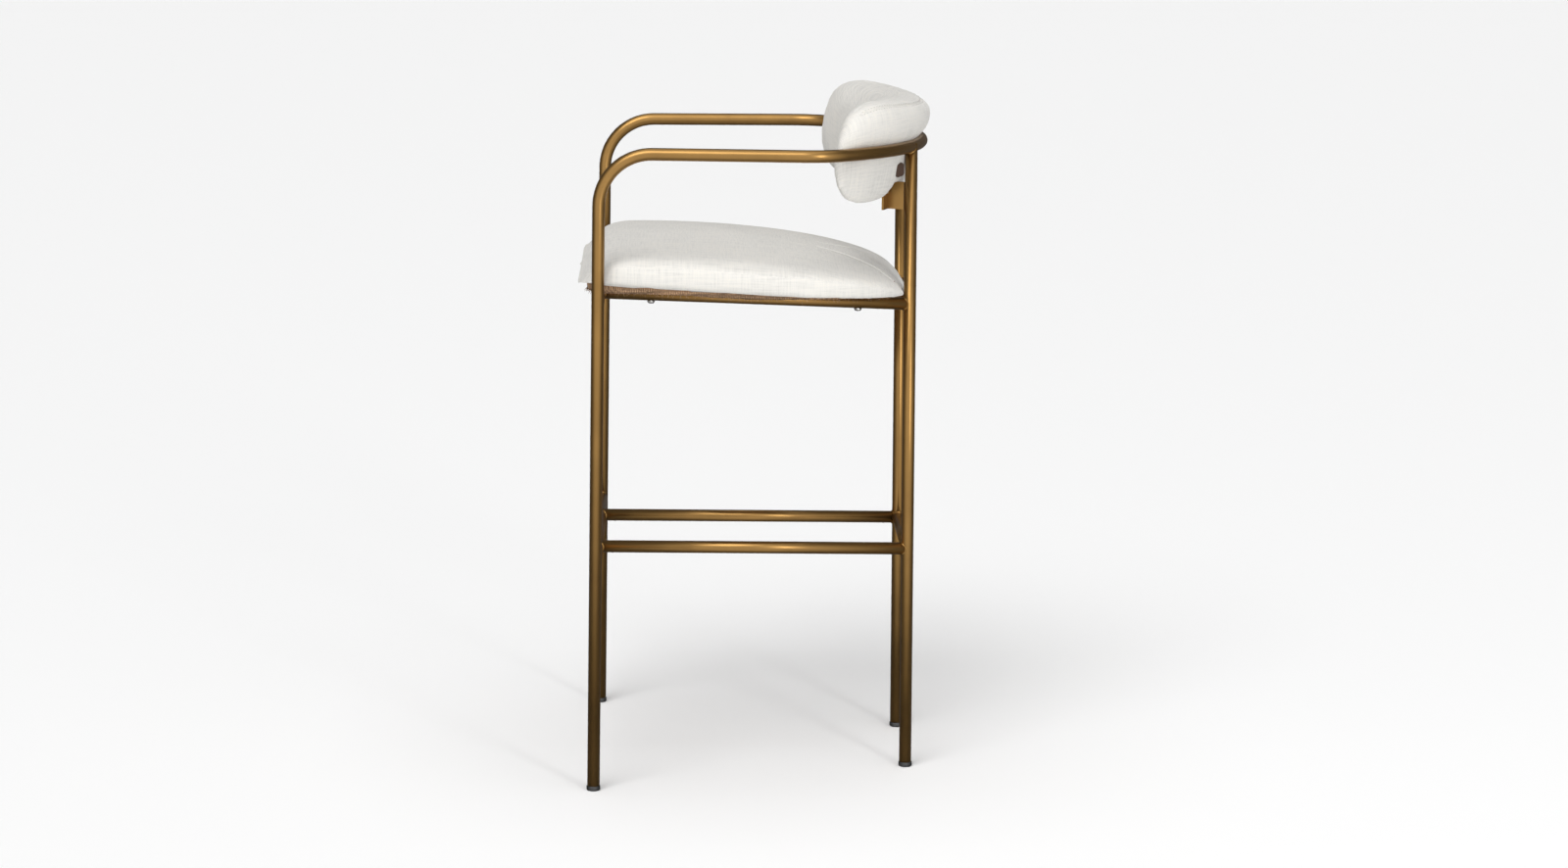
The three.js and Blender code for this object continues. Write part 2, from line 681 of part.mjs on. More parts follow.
function addBackrest() {
  const screwX = BRACKET_FLANGE / 2;
  const screwY = BRACKET_THICKNESS - BRACKET_DEPTH + GAP - BRACKET_SCREW_LENGTH;
  const holes = [];
  const dents = [];
  for (const [side, word] of names) {
    const group = bracketGroup(side);
    const hole = bracketScrewHole();
    hole.translate(side * screwX, screwY, 0);
    addMesh(group, `backrest_bracket_${word}`, cut(bracketPlate(side), [hole]), BRASS_PAINT);
    const screw = addMesh(group, `backrest_screw_${word}`, bracketScrew(), SCREW_STEEL);
    screw.position.set(side * screwX, screwY, 0);
    holes.push(hole.clone().applyMatrix4(group.matrix));
    dents.push(bracketDent(side).applyMatrix4(group.matrix));
    stool.add(group);
  }
  const straight = straightPad(padSection(), PAD_STEPS);
  const pad = bendRoundBack(straight, PAD_END_ANGLE, PAD_END_THIN, PAD_END_SCALE, PAD_END_LENGTH);
  const slot = bentStrip(shellSection(GAP, SHELL_ABOVE_RAIL + GAP, PAD_BELOW_RAIL + GAP), SHELL_SLOT_ANGLE);
  const shell = bentStrip(shellSection(0, SHELL_ABOVE_RAIL, SHELL_BELOW_RAIL), SHELL_END_ANGLE);
  addMesh(stool, 'backrest_pad', cut(pad, [slot, ...holes, ...dents]), LINEN);
  addMesh(stool, 'backrest_shell', cut(shell, holes), PLYWOOD);
}

addFrameTubes();
addSubFrame('footrest', FOOTREST_HEIGHT, 0, ventHoles);
addSubFrame('seat_frame', SEAT_RAIL_HEIGHT, SEAT_SLOPE, screwHoles);
addFootCaps();
addSeat();
addBackrest();

export default stool;
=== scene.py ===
"""Bar stool with arms, a curved backrest pad and an H-frame footrest.

Units are metres.  +Z is up, -Y is the front of the stool and +X is the sitter's left.
The welded tube frame, its weld beads and feet are modelled on the loaded frame's places,
and the two linen pads are swollen by cloth simulation.
"""

import json
import math

import bmesh
import bpy
from bpy.props import FloatProperty, FloatVectorProperty, IntProperty, PointerProperty
from mathutils import Matrix, Vector, noise
from mathutils.bvhtree import BVHTree
from mathutils.kdtree import KDTree


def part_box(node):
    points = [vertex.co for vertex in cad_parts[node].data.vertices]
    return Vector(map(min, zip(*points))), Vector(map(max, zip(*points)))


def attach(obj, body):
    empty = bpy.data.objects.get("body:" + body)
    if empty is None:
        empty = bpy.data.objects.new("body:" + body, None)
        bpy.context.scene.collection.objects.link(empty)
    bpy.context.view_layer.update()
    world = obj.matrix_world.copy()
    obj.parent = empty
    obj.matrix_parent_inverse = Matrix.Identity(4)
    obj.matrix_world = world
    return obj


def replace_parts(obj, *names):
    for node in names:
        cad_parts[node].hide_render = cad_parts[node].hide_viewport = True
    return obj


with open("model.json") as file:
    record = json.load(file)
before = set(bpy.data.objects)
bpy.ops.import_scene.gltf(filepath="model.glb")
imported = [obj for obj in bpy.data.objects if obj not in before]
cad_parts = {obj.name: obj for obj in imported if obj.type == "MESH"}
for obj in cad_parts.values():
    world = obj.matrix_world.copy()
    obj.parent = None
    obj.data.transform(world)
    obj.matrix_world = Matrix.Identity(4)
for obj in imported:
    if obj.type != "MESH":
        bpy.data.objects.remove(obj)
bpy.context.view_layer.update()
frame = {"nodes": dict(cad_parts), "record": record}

bl_info = {
    "name": "Bar Stool with Footrest",
    "version": (1, 0, 0),
    "blender": (4, 5, 0),
    "location": "View3D > Sidebar > Bar Stool",
    "description": "Builds a tube-framed bar stool with linen seat and backrest pads",
    "category": "Add Mesh",
}

BODY = "root"
SIDES = (("left", 1), ("right", -1))


# ------------------------------------------------------------------ places from the frame

def box_of(node):
    low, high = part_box(node)
    return Vector(low), Vector(high)


def middle(node):
    low, high = box_of(node)
    return (low + high) / 2


LOOP_LOW, LOOP_HIGH = box_of("arm_loop_tube")
FRONT_CAP = middle("foot_cap_front_left")
REAR_CAP = middle("foot_cap_rear_left")
CAP_LOW, CAP_HIGH = box_of("foot_cap_front_left")
CUSHION_LOW, CUSHION_HIGH = box_of("seat_cushion")
BOARD_LOW, BOARD_HIGH = box_of("seat_board")
FRONT_LEAN = 0.004
VENT_INSET = 0.0202
VENT_RADIUS = 0.0019
CROSS_TUBE_INSET = 0.001
CAP_HEIGHT = 0.007
CAP_EDGE = 0.0025
RAIL_SLOPE = 0.028


# ---------------------------------------------------------------------------- properties

class StoolSizes(bpy.types.PropertyGroup):
    tube_diameter: FloatProperty(
        name="Tube diameter",
        description="Outside diameter of the frame tube",
        default=0.018,
        unit="LENGTH",
    )
    arm_bend: FloatProperty(
        name="Arm bend",
        description="Centreline radius of the bend between front leg and arm",
        default=0.075,
        unit="LENGTH",
    )
    corner_bend: FloatProperty(
        name="Corner bend",
        description="Centreline radius of the bend between arm and back rail",
        default=0.085,
        unit="LENGTH",
    )
    back_bend: FloatProperty(
        name="Back bend",
        description="Centreline radius of the rail behind the back",
        default=0.330,
        unit="LENGTH",
    )
    tube_sides: IntProperty(
        name="Tube sides",
        description="Number of faces round a tube",
        default=32,
    )
    weld_width: FloatProperty(
        name="Weld width",
        description="Width of a weld bead",
        default=0.0034,
        unit="LENGTH",
    )
    voxel: FloatProperty(
        name="Pad voxel",
        description="Mesh size that the pads are simulated at",
        default=0.0055,
        unit="LENGTH",
    )
    thread_pitch: FloatProperty(
        name="Thread pitch",
        description="Distance between the linen's threads",
        default=0.0016,
        unit="LENGTH",
    )


class StoolColours(bpy.types.PropertyGroup):
    brass: FloatVectorProperty(
        name="Frame paint",
        description="Antique brass paint on the tubes",
        subtype="COLOR",
        default=(0.275, 0.155, 0.048),
    )
    linen: FloatVectorProperty(
        name="Linen",
        description="Off-white cover of the pads",
        subtype="COLOR",
        default=(0.65, 0.635, 0.60),
    )
    burlap: FloatVectorProperty(
        name="Burlap",
        description="Coarse dust cover under the seat",
        subtype="COLOR",
        default=(0.36, 0.22, 0.125),
    )
    plastic: FloatVectorProperty(
        name="Plastic",
        description="Black end caps and spacers",
        subtype="COLOR",
        default=(0.012, 0.012, 0.012),
    )


def sizes():
    return bpy.context.scene.stool_sizes


def colours():
    return bpy.context.scene.stool_colours


# ----------------------------------------------------------------------------- materials

WAVE_BANDS = 0.314  # a wave's scale times the distance between its bands


class Nodes:
    """Short calls for building one material's node tree."""

    def __init__(self, name):
        self.material = bpy.data.materials.new(name)
        self.material.use_nodes = True
        self.tree = self.material.node_tree
        self.shader = self.tree.nodes["Principled BSDF"]

    def add(self, kind, **settings):
        node = self.tree.nodes.new(kind)
        for key, value in settings.items():
            setattr(node, key, value)
        return node

    def link(self, source, target):
        self.tree.links.new(source, target)

    def coordinates(self, scale, uv=False):
        source = self.add("ShaderNodeTexCoord")
        mapping = self.add("ShaderNodeMapping")
        mapping.inputs["Scale"].default_value = scale
        self.link(source.outputs["UV" if uv else "Object"], mapping.inputs["Vector"])
        return mapping.outputs["Vector"]

    def noise(self, vector, scale, detail=3.0, rough=0.55):
        node = self.add("ShaderNodeTexNoise")
        node.inputs["Scale"].default_value = scale
        node.inputs["Detail"].default_value = detail
        node.inputs["Roughness"].default_value = rough
        self.link(vector, node.inputs["Vector"])
        return node.outputs["Fac"]

    def ramp(self, value, stops):
        node = self.add("ShaderNodeValToRGB")
        elements = node.color_ramp.elements
        while len(elements) < len(stops):
            elements.new(0.5)
        for element, (place, colour) in zip(elements, stops):
            element.position = place
            element.color = (*colour, 1.0)
        self.link(value, node.inputs["Fac"])
        return node.outputs["Color"]

    def math(self, operation, first, second):
        node = self.add("ShaderNodeMath", operation=operation)
        for socket, value in zip(node.inputs, (first, second)):
            if isinstance(value, (int, float)):
                socket.default_value = value
            else:
                self.link(value, socket)
        return node.outputs["Value"]

    def spread(self, value, low, high):
        node = self.add("ShaderNodeMapRange")
        node.inputs["To Min"].default_value = low
        node.inputs["To Max"].default_value = high
        self.link(value, node.inputs["Value"])
        return node.outputs["Result"]

    def wave(self, vector, direction, scale, distortion=0.0, detail=2.0, detail_scale=1.0):
        node = self.add("ShaderNodeTexWave", bands_direction=direction)
        node.inputs["Scale"].default_value = scale
        node.inputs["Distortion"].default_value = distortion
        node.inputs["Detail"].default_value = detail
        node.inputs["Detail Scale"].default_value = detail_scale
        self.link(vector, node.inputs["Vector"])
        return node.outputs["Fac"]

    def blend(self, first, first_share, second, second_share):
        """Two values added in shares."""
        return self.math(
            "ADD",
            self.math("MULTIPLY", first, first_share),
            self.math("MULTIPLY", second, second_share),
        )

    def give(self, socket, value):
        """Set one of the shader's own sockets, or link a node's output to it."""
        if isinstance(value, bpy.types.NodeSocket):
            self.link(value, self.shader.inputs[socket])
        else:
            self.shader.inputs[socket].default_value = value

    def bump(self, height, strength, distance):
        node = self.add("ShaderNodeBump")
        node.inputs["Strength"].default_value = strength
        node.inputs["Distance"].default_value = distance
        self.link(height, node.inputs["Height"])
        self.give("Normal", node.outputs["Normal"])


def scaled(colour, factor):
    return tuple(channel * factor for channel in colour)


def brass_paint():
    nodes = Nodes("brass_paint")
    base = tuple(colours().brass)
    place = nodes.coordinates((1, 1, 1))
    cloud = nodes.noise(place, 14.0, 4.0)
    fleck = nodes.noise(place, 900.0, 2.0)
    stops = ((0.25, scaled(base, 0.86)), (0.75, scaled(base, 1.12)))
    nodes.give("Base Color", nodes.ramp(cloud, stops))
    nodes.give("Roughness", nodes.spread(nodes.blend(cloud, 0.5, fleck, 0.5), 0.24, 0.36))
    nodes.give("Metallic", 0.9)
    nodes.bump(fleck, 0.12, 0.0002)
    return nodes.material


def linen_cloth():
    nodes = Nodes("linen_cloth")
    base = tuple(colours().linen)
    place = nodes.coordinates((1, 1, 1), uv=True)
    bands = WAVE_BANDS / sizes().thread_pitch
    threads = [nodes.wave(place, axis, bands, 1.6, 1.0, 2.0) for axis in ("X", "Y")]
    weave = nodes.math("MAXIMUM", *threads)
    slub_along = nodes.noise(nodes.coordinates((26, 420, 1), uv=True), 1.0, 2.5)
    slub_across = nodes.noise(nodes.coordinates((380, 22, 1), uv=True), 1.0, 2.5)
    slub = nodes.math("MULTIPLY", nodes.math("ADD", slub_along, slub_across), 0.5)
    shade = nodes.blend(slub, 0.8, nodes.noise(place, 9.0, 2.0), 0.2)
    warm = (base[0] * 1.08, base[1] * 1.06, base[2] * 1.03)
    tint = nodes.ramp(shade, ((0.36, scaled(base, 0.86)), (0.50, base), (0.64, warm)))
    darken = nodes.add("ShaderNodeMix", data_type="RGBA", blend_type="MULTIPLY")
    darken.inputs["Factor"].default_value = 0.16
    nodes.link(tint, darken.inputs["A"])
    nodes.link(weave, darken.inputs["B"])
    nodes.give("Base Color", darken.outputs["Result"])
    nodes.give("Roughness", 0.92)
    nodes.give("Sheen Weight", 0.25)
    nodes.give("Sheen Roughness", 0.4)
    nodes.bump(nodes.blend(weave, 0.45, slub, 1.4), 0.55, 0.0007)
    return nodes.material


def burlap_cloth():
    nodes = Nodes("burlap_cloth")
    base = tuple(colours().burlap)
    place = nodes.coordinates((1, 1, 1))
    threads = [nodes.wave(place, axis, 130.0, 3.0, 2.0, 2.0) for axis in ("X", "Y")]
    weave = nodes.math("MULTIPLY", *threads)
    shade = nodes.blend(weave, 0.5, nodes.noise(place, 30.0, 4.0), 0.5)
    stops = ((0.15, scaled(base, 0.35)), (0.45, base), (0.75, scaled(base, 1.7)))
    nodes.give("Base Color", nodes.ramp(shade, stops))
    nodes.give("Roughness", 0.95)
    nodes.bump(weave, 0.8, 0.0012)
    return nodes.material


def plywood():
    nodes = Nodes("plywood")
    grain = nodes.noise(nodes.coordinates((4, 60, 400)), 1.0, 5.0)
    stops = ((0.3, (0.30, 0.17, 0.08)), (0.7, (0.58, 0.40, 0.22)))
    nodes.give("Base Color", nodes.ramp(grain, stops))
    nodes.give("Roughness", nodes.spread(grain, 0.6, 0.8))
    nodes.bump(grain, 0.3, 0.0005)
    return nodes.material


def moulded_plastic():
    nodes = Nodes("moulded_plastic")
    base = tuple(colours().plastic)
    place = nodes.coordinates((1, 1, 1))
    scuff = nodes.noise(place, 60.0, 4.0)
    nodes.give("Base Color", nodes.ramp(scuff, ((0.35, base), (0.75, scaled(base, 2.4)))))
    nodes.give("Roughness", nodes.spread(scuff, 0.38, 0.62))
    nodes.bump(nodes.noise(place, 1500.0, 2.0), 0.25, 0.0002)
    return nodes.material


def plated_steel():
    nodes = Nodes("plated_steel")
    cloud = nodes.noise(nodes.coordinates((1, 1, 1)), 200.0, 3.0)
    stops = ((0.3, (0.42, 0.42, 0.42)), (0.7, (0.66, 0.65, 0.62)))
    nodes.give("Base Color", nodes.ramp(cloud, stops))
    nodes.give("Roughness", nodes.spread(cloud, 0.22, 0.4))
    nodes.give("Metallic", 1.0)
    nodes.bump(cloud, 0.1, 0.0002)
    return nodes.material


def brown_webbing():
    nodes = Nodes("brown_webbing")
    ribs = nodes.wave(nodes.coordinates((1, 1, 1)), "DIAGONAL", 420.0)
    stops = ((0.2, (0.035, 0.018, 0.010)), (0.8, (0.085, 0.045, 0.028)))
    nodes.give("Base Color", nodes.ramp(ribs, stops))
    nodes.give("Roughness", 0.8)
    nodes.bump(ribs, 0.5, 0.0005)
    return nodes.material


def pale_thread():
    nodes = Nodes("pale_thread")
    base = tuple(colours().linen)
    twist = nodes.noise(nodes.coordinates((1, 1, 1)), 2600.0, 1.0)
    stops = ((0.3, scaled(base, 0.45)), (0.7, scaled(base, 0.72)))
    nodes.give("Base Color", nodes.ramp(twist, stops))
    nodes.give("Roughness", 0.85)
    nodes.bump(twist, 0.4, 0.0003)
    return nodes.material


MATERIALS = {}
MAKERS = {
    "frame_paint": brass_paint,
    "linen": linen_cloth,
    "burlap": burlap_cloth,
    "plywood": plywood,
    "black_plastic": moulded_plastic,
    "screw_steel": plated_steel,
    "webbing": brown_webbing,
    "thread": pale_thread,
}


def finish_of(slot):
    if slot not in MATERIALS:
        MATERIALS[slot] = MAKERS[slot]()
    return MATERIALS[slot]


def refinish(node, slot):
    """Give a frame node that stays in view its detailed finish."""
    mesh = frame["nodes"][node].data
    mesh.materials.clear()
    mesh.materials.append(finish_of(slot))


# ------------------------------------------------------------------------- mesh helpers

MERGE_DISTANCE = 1e-6
SHORTEST_RUN = 1e-4
BEND_STEP = 0.006
BEAD_SIDES = 6
BEAD_STEPS = 48


def add_object(name, data):
    made = bpy.data.objects.new(name, data)
    bpy.context.scene.collection.objects.link(made)
    return made


def mesh_object(name, bm):
    """Turn a bmesh into a mesh object, and free it."""
    mesh = bpy.data.meshes.new(name)
    bm.to_mesh(mesh)
    bm.free()
    return add_object(name, mesh)


def verts_in(items):
    return [item for item in items if isinstance(item, bmesh.types.BMVert)]


def edges_in(items):
    return [item for item in items if isinstance(item, bmesh.types.BMEdge)]


def edges_between(edges, verts):
    """The edges with both ends among some vertices."""
    ends = set(verts)
    return [edge for edge in edges if all(vert in ends for vert in edge.verts)]


def new_piece(name, bm, slot, finish=None):
    """Turn a finished bmesh into a piece that rides on the frame."""
    bmesh.ops.remove_doubles(bm, verts=bm.verts, dist=MERGE_DISTANCE)
    bmesh.ops.recalc_face_normals(bm, faces=bm.faces)
    piece = mesh_object(name, bm)
    for polygon in piece.data.polygons:
        polygon.use_smooth = True
    piece.data.materials.append(finish_of(finish or slot))
    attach(piece, BODY)
    return piece


def aim(direction):
    """Rotation that turns +Z to a direction."""
    return Vector((0, 0, 1)).rotation_difference(direction).to_matrix().to_4x4()


def placed(x_axis, y_axis, z_axis, place):
    """A matrix that turns X, Y and Z to three axes, and moves the origin to a place."""
    matrix = Matrix((x_axis, y_axis, z_axis)).transposed().to_4x4()
    matrix.translation = place
    return matrix


def pipe(bm, corners, radius, sides):
    """A closed round tube through corner points, each inner corner bent to its own radius."""
    points = [Vector(corner[0]) for corner in corners]
    place = points[0]
    heading = (points[1] - points[0]).normalized()
    matrix = Matrix.Translation(place) @ aim(heading)
    bmesh.ops.create_circle(bm, cap_ends=True, segments=sides, radius=radius, matrix=matrix)
    verts, edges = bm.verts[:], bm.edges[:]

    def run_to(target):
        grown = bmesh.ops.extrude_edge_only(bm, edges=edges)["geom"]
        moved = verts_in(grown)
        bmesh.ops.translate(bm, verts=moved, vec=target - place)
        return moved, edges_between(edges_in(grown), moved)

    for i in range(1, len(points) - 1):
        after = (points[i + 1] - points[i]).normalized()
        turn = heading.angle(after)
        axis = heading.cross(after).normalized()
        bend = corners[i][1]
        start = points[i] - heading * (bend * math.tan(turn / 2))
        if (start - place).length > SHORTEST_RUN:
            verts, edges = run_to(start)
        spun = bmesh.ops.spin(
            bm, geom=verts + edges, cent=start + axis.cross(heading) * bend, axis=axis,
            angle=turn, steps=max(2, round(turn * bend / BEND_STEP)), use_duplicate=False,
        )["geom_last"]
        verts = verts_in(spun)
        edges = edges_between(edges_in(spun), verts)
        place = points[i] + after * (bend * math.tan(turn / 2))
        heading = after
    _, edges = run_to(points[-1])
    bmesh.ops.edgeloop_fill(bm, edges=edges)


def lathe(bm, profile, matrix, steps):
    """Spin a profile of (radius, height) points round Z, then put it in place."""
    verts = [bm.verts.new((radius, 0, height)) for radius, height in profile]
    edges = [bm.edges.new(pair) for pair in zip(verts, verts[1:])]
    bmesh.ops.spin(
        bm, geom=verts + edges, cent=(0, 0, 0), axis=(0, 0, 1),
        angle=math.tau, steps=steps, use_merge=True,
    )
    bmesh.ops.transform(bm, matrix=matrix, verts=bm.verts)
    bmesh.ops.remove_doubles(bm, verts=bm.verts, dist=MERGE_DISTANCE)


def bead_ring(bm, centre, branch, main, radius, width, seed):
    """A rippled weld bead where a branch tube's end meets the side of a main tube."""
    branch = branch.normalized()
    across = branch.cross(main.normalized()).normalized()
    along = across.cross(branch)
    start = [
        bm.verts.new((radius + width * 0.45 * math.cos(angle), 0, width * 0.55 * math.sin(angle)))
        for angle in (math.tau * k / BEAD_SIDES for k in range(BEAD_SIDES))
    ]
    edges = [bm.edges.new((start[k], start[(k + 1) % BEAD_SIDES])) for k in range(BEAD_SIDES)]
    old = set(bm.verts)
    bmesh.ops.spin(
        bm, geom=start + edges, cent=(0, 0, 0), axis=(0, 0, 1),
        angle=math.tau, steps=BEAD_STEPS, use_merge=True,
    )
    ring = [vert for vert in bm.verts if vert not in old]
    ring += [vert for vert in start if vert.is_valid]
    for vert in ring:
        angle = math.atan2(vert.co.y, vert.co.x)
        reach = min(1.0, abs(math.sin(angle)))
        saddle = math.sqrt(max(0.0, 1 - reach * reach)) * radius
        rough = noise.noise(Vector((angle * 2, seed, 0)))
        ripple = 1 + 0.10 * math.sin(22 * angle + seed) + 0.10 * rough
        size = ripple * (1 - 0.75 * reach ** 6)
        flat = Vector((vert.co.x, vert.co.y, 0))
        offset = (flat.length - radius) * size - 0.0004 * reach ** 6
        co = flat.normalized() * (radius + offset)
        vert.co = centre + along * co.x + across * co.y + branch * (vert.co.z * size + saddle)


# ------------------------------------------------------------------------------- frame

def frame_points():
    """Corner points of the bent tube, worked out from the loaded frame."""
    size = sizes()
    radius = size.tube_diameter / 2
    arm_z = LOOP_HIGH.z - radius
    half_rear = LOOP_HIGH.x - radius
    back_y = LOOP_HIGH.y - radius
    front_x = FRONT_CAP.x
    front_y = LOOP_LOW.y + radius
    centre_y = back_y - size.back_bend
    corner_x = half_rear - size.corner_bend
    corner_y = centre_y + math.sqrt((size.back_bend - size.corner_bend) ** 2 - corner_x ** 2)
    turn = math.atan2(corner_y - centre_y, corner_x)
    start = Vector((front_x, front_y + FRONT_LEAN))
    to_corner = Vector((corner_x, corner_y)) - start
    heading = math.atan2(to_corner.y, to_corner.x) - math.asin(size.corner_bend / to_corner.length)
    arm = Vector((math.cos(heading), math.sin(heading)))
    normal = Vector((math.cos(turn), math.sin(turn)))
    offset = start.x * normal.x + (start.y - centre_y) * normal.y
    arm_end = start + arm * ((size.back_bend - offset) / arm.dot(normal))
    apex = centre_y + size.back_bend / math.sin(turn)
    foot_z = CAP_LOW.z + 0.0072
    half = [
        (Vector((front_x, front_y, foot_z)), 0),
        (Vector((start.x, start.y, arm_z)), size.arm_bend),
        (Vector((arm_end.x, arm_end.y, arm_z)), size.corner_bend),
    ]
    mirrored = [(Vector((-p.x, p.y, p.z)), bend) for p, bend in reversed(half)]
    return half + [(Vector((0, apex, arm_z)), size.back_bend)] + mirrored


def build_arm_loop():
    size = sizes()
    bm = bmesh.new()
    pipe(bm, frame_points(), size.tube_diameter / 2, size.tube_sides)
    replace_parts(new_piece("arm_loop", bm, "frame_paint"), "arm_loop_tube")


def leg_line(node):
    """Top and bottom of a leg's centreline, from its cap and its own box."""
    low, high = box_of(node)
    radius = sizes().tube_diameter / 2
    x = (low.x + high.x) / 2
    return Vector((x, high.y - radius, low.z)), Vector((x, low.y + radius, high.z + radius / 2))


def straight_tube(name, start, end, node):
    """A tube of the frame from end to end, in place of a frame node."""
    size = sizes()
    bm = bmesh.new()
    pipe(bm, [(start, 0), (end, 0)], size.tube_diameter / 2, size.tube_sides)
    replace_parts(new_piece(name, bm, "frame_paint"), node)


def build_rear_legs():
    for word, _ in SIDES:
        foot, top = leg_line(f"rear_leg_{word}")
        straight_tube(f"rear_leg_tube_{word}", foot, top, f"rear_leg_{word}")


def build_sub_frame(prefix):
    """Front, side and rear tubes of the footrest or of the seat frame."""
    into_cross_tube = sizes().tube_diameter / 2 * 0.6
    for end in ("front", "rear"):
        node = f"{prefix}_{end}_tube"
        low, high = box_of(node)
        start, finish = middle(node), middle(node)
        start.x = low.x + CROSS_TUBE_INSET
        finish.x = high.x - CROSS_TUBE_INSET
        straight_tube(f"{prefix}_cross_{end}", start, finish, node)
    for word, _ in SIDES:
        node = f"{prefix}_side_tube_{word}"
        start = middle(f"{prefix}_front_tube") + Vector((0, into_cross_tube, 0))
        finish = middle(f"{prefix}_rear_tube") - Vector((0, into_cross_tube, 0))
        start.x = finish.x = middle(node).x
        straight_tube(f"{prefix}_side_{word}", start, finish, node)


def build_footrest():
    build_sub_frame("footrest")
    build_vent_hole_shade()


def build_seat_frame():
    build_sub_frame("seat_frame")


def build_vent_hole_shade():
    """Black discs as painted shade in the vent holes under the footrest's side tubes."""
    bm = bmesh.new()
    for word, _ in SIDES:
        node = f"footrest_side_tube_{word}"
        low, high = box_of(node)
        for y in (low.y + VENT_INSET, high.y - VENT_INSET):
            matrix = Matrix.Translation((middle(node).x, y, low.z + 0.0006))
            bmesh.ops.create_cone(
                bm, cap_ends=True, segments=20, radius1=VENT_RADIUS, radius2=VENT_RADIUS,
                depth=0.0016, matrix=matrix,
            )
    # the black plastic here is painted shade: the open holes are dark only because no light
    # reaches inside
    new_piece("vent_hole_painted_shade", bm, "black_plastic")


def build_weld_beads():
    """Beads round every joint of the frame."""
    size = sizes()
    radius = size.tube_diameter / 2
    up = Vector((0, 0, 1))
    joints = []
    for prefix in ("footrest", "seat_frame"):
        front = middle(f"{prefix}_front_tube")
        rear = middle(f"{prefix}_rear_tube")
        slope = (rear - front).normalized()
        along = Vector((0, slope.y, slope.z))
        for word, side in SIDES:
            x = middle(f"{prefix}_side_tube_{word}").x
            inward = Vector((-side, 0, 0))
            rear_joint = Vector((x, rear.y, rear.z))
            joints += [
                (Vector((side * FRONT_CAP.x, front.y, front.z)), inward, up),
                (Vector((x, front.y, front.z)), along, Vector((1, 0, 0))),
                (rear_joint, -along, up),
                (rear_joint, inward, up),
            ]
    for word, _ in SIDES:
        _, top = leg_line(f"rear_leg_{word}")
        angle = math.asin(top.x / size.back_bend)
        rail = Vector((math.cos(angle), -math.sin(angle), 0))
        joints.append((Vector((top.x, top.y, LOOP_HIGH.z - radius)), -up, rail))
    bm = bmesh.new()
    for seed, (centre, branch, main) in enumerate(joints):
        bead_ring(bm, centre, branch, main, radius, size.weld_width, seed)
    new_piece("weld_beads", bm, "frame_paint")


def build_feet():
    radius = (CAP_HIGH.x - CAP_LOW.x) / 2
    profile = [(0, 0)]
    profile += [
        (radius - CAP_EDGE + CAP_EDGE * math.sin(a), CAP_EDGE - CAP_EDGE * math.cos(a))
        for a in (math.radians(15 * k) for k in range(7))
    ]
    profile += [
        (radius, CAP_HEIGHT - 0.0008),
        (radius - 0.0006, CAP_HEIGHT),
        (radius * 0.7, CAP_HEIGHT + 0.0004),
        (0, CAP_HEIGHT + 0.0004),
    ]
    for end in ("front", "rear"):
        for word, _ in SIDES:
            node = f"foot_cap_{end}_{word}"
            place = middle(node)
            bm = bmesh.new()
            lathe(bm, profile, Matrix.Translation((place.x, place.y, 0)), 40)
            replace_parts(new_piece(f"end_cap_{end}_{word}", bm, "black_plastic"), node)


# -------------------------------------------------------------------------------- pads

SWELL_PRESSURE = 4.0
SWELL_FRAMES = 20
SWELL_CAP = 0.005


def joined_copy(name, nodes):
    """One mesh object with merged copies of some frame nodes."""
    bm = bmesh.new()
    for node in nodes:
        bm.from_mesh(frame["nodes"][node].data)
    bmesh.ops.remove_doubles(bm, verts=bm.verts, dist=1e-5)
    return mesh_object(name, bm)


def apply_modifiers(piece):
    depsgraph = bpy.context.evaluated_depsgraph_get()
    mesh = bpy.data.meshes.new_from_object(piece.evaluated_get(depsgraph))
    piece.modifiers.clear()
    piece.data = mesh


def remesh(piece, voxel, smoothing):
    modifier = piece.modifiers.new("remesh", "REMESH")
    modifier.mode = "VOXEL"
    modifier.voxel_size = voxel
    modifier.use_smooth_shade = True
    relax = piece.modifiers.new("relax", "SMOOTH")
    relax.factor = 0.5
    relax.iterations = smoothing
    apply_modifiers(piece)


def swell(piece):
    """Blow the cover up like a filled cushion, and cap how far any point moves."""
    before = [vert.co.copy() for vert in piece.data.vertices]
    cloth = piece.modifiers.new("cloth", "CLOTH")
    cloth.settings.use_pressure = True
    cloth.settings.uniform_pressure_force = SWELL_PRESSURE
    cloth.settings.tension_stiffness = 12
    cloth.settings.compression_stiffness = 12
    cloth.settings.bending_stiffness = 0.4
    cloth.settings.effector_weights.gravity = 0
    cloth.point_cache.frame_start = 1
    cloth.point_cache.frame_end = SWELL_FRAMES
    for number in range(1, SWELL_FRAMES + 1):
        bpy.context.scene.frame_set(number)
    apply_modifiers(piece)
    bpy.context.scene.frame_set(1)
    for vert, start in zip(piece.data.vertices, before):
        move = vert.co - start
        if move.length > SWELL_CAP:
            vert.co = start + move.normalized() * SWELL_CAP


def subdivide(piece):
    modifier = piece.modifiers.new("fine", "SUBSURF")
    modifier.levels = 1
    modifier.render_levels = 1
    apply_modifiers(piece)


def thicken(piece, wall):
    modifier = piece.modifiers.new("wall", "SOLIDIFY")
    modifier.thickness = wall
    modifier.offset = 0
    apply_modifiers(piece)


def path_tree(path):
    tree = KDTree(len(path))
    for i, point in enumerate(path):
        tree.insert(point, i)
    tree.balance()
    return tree


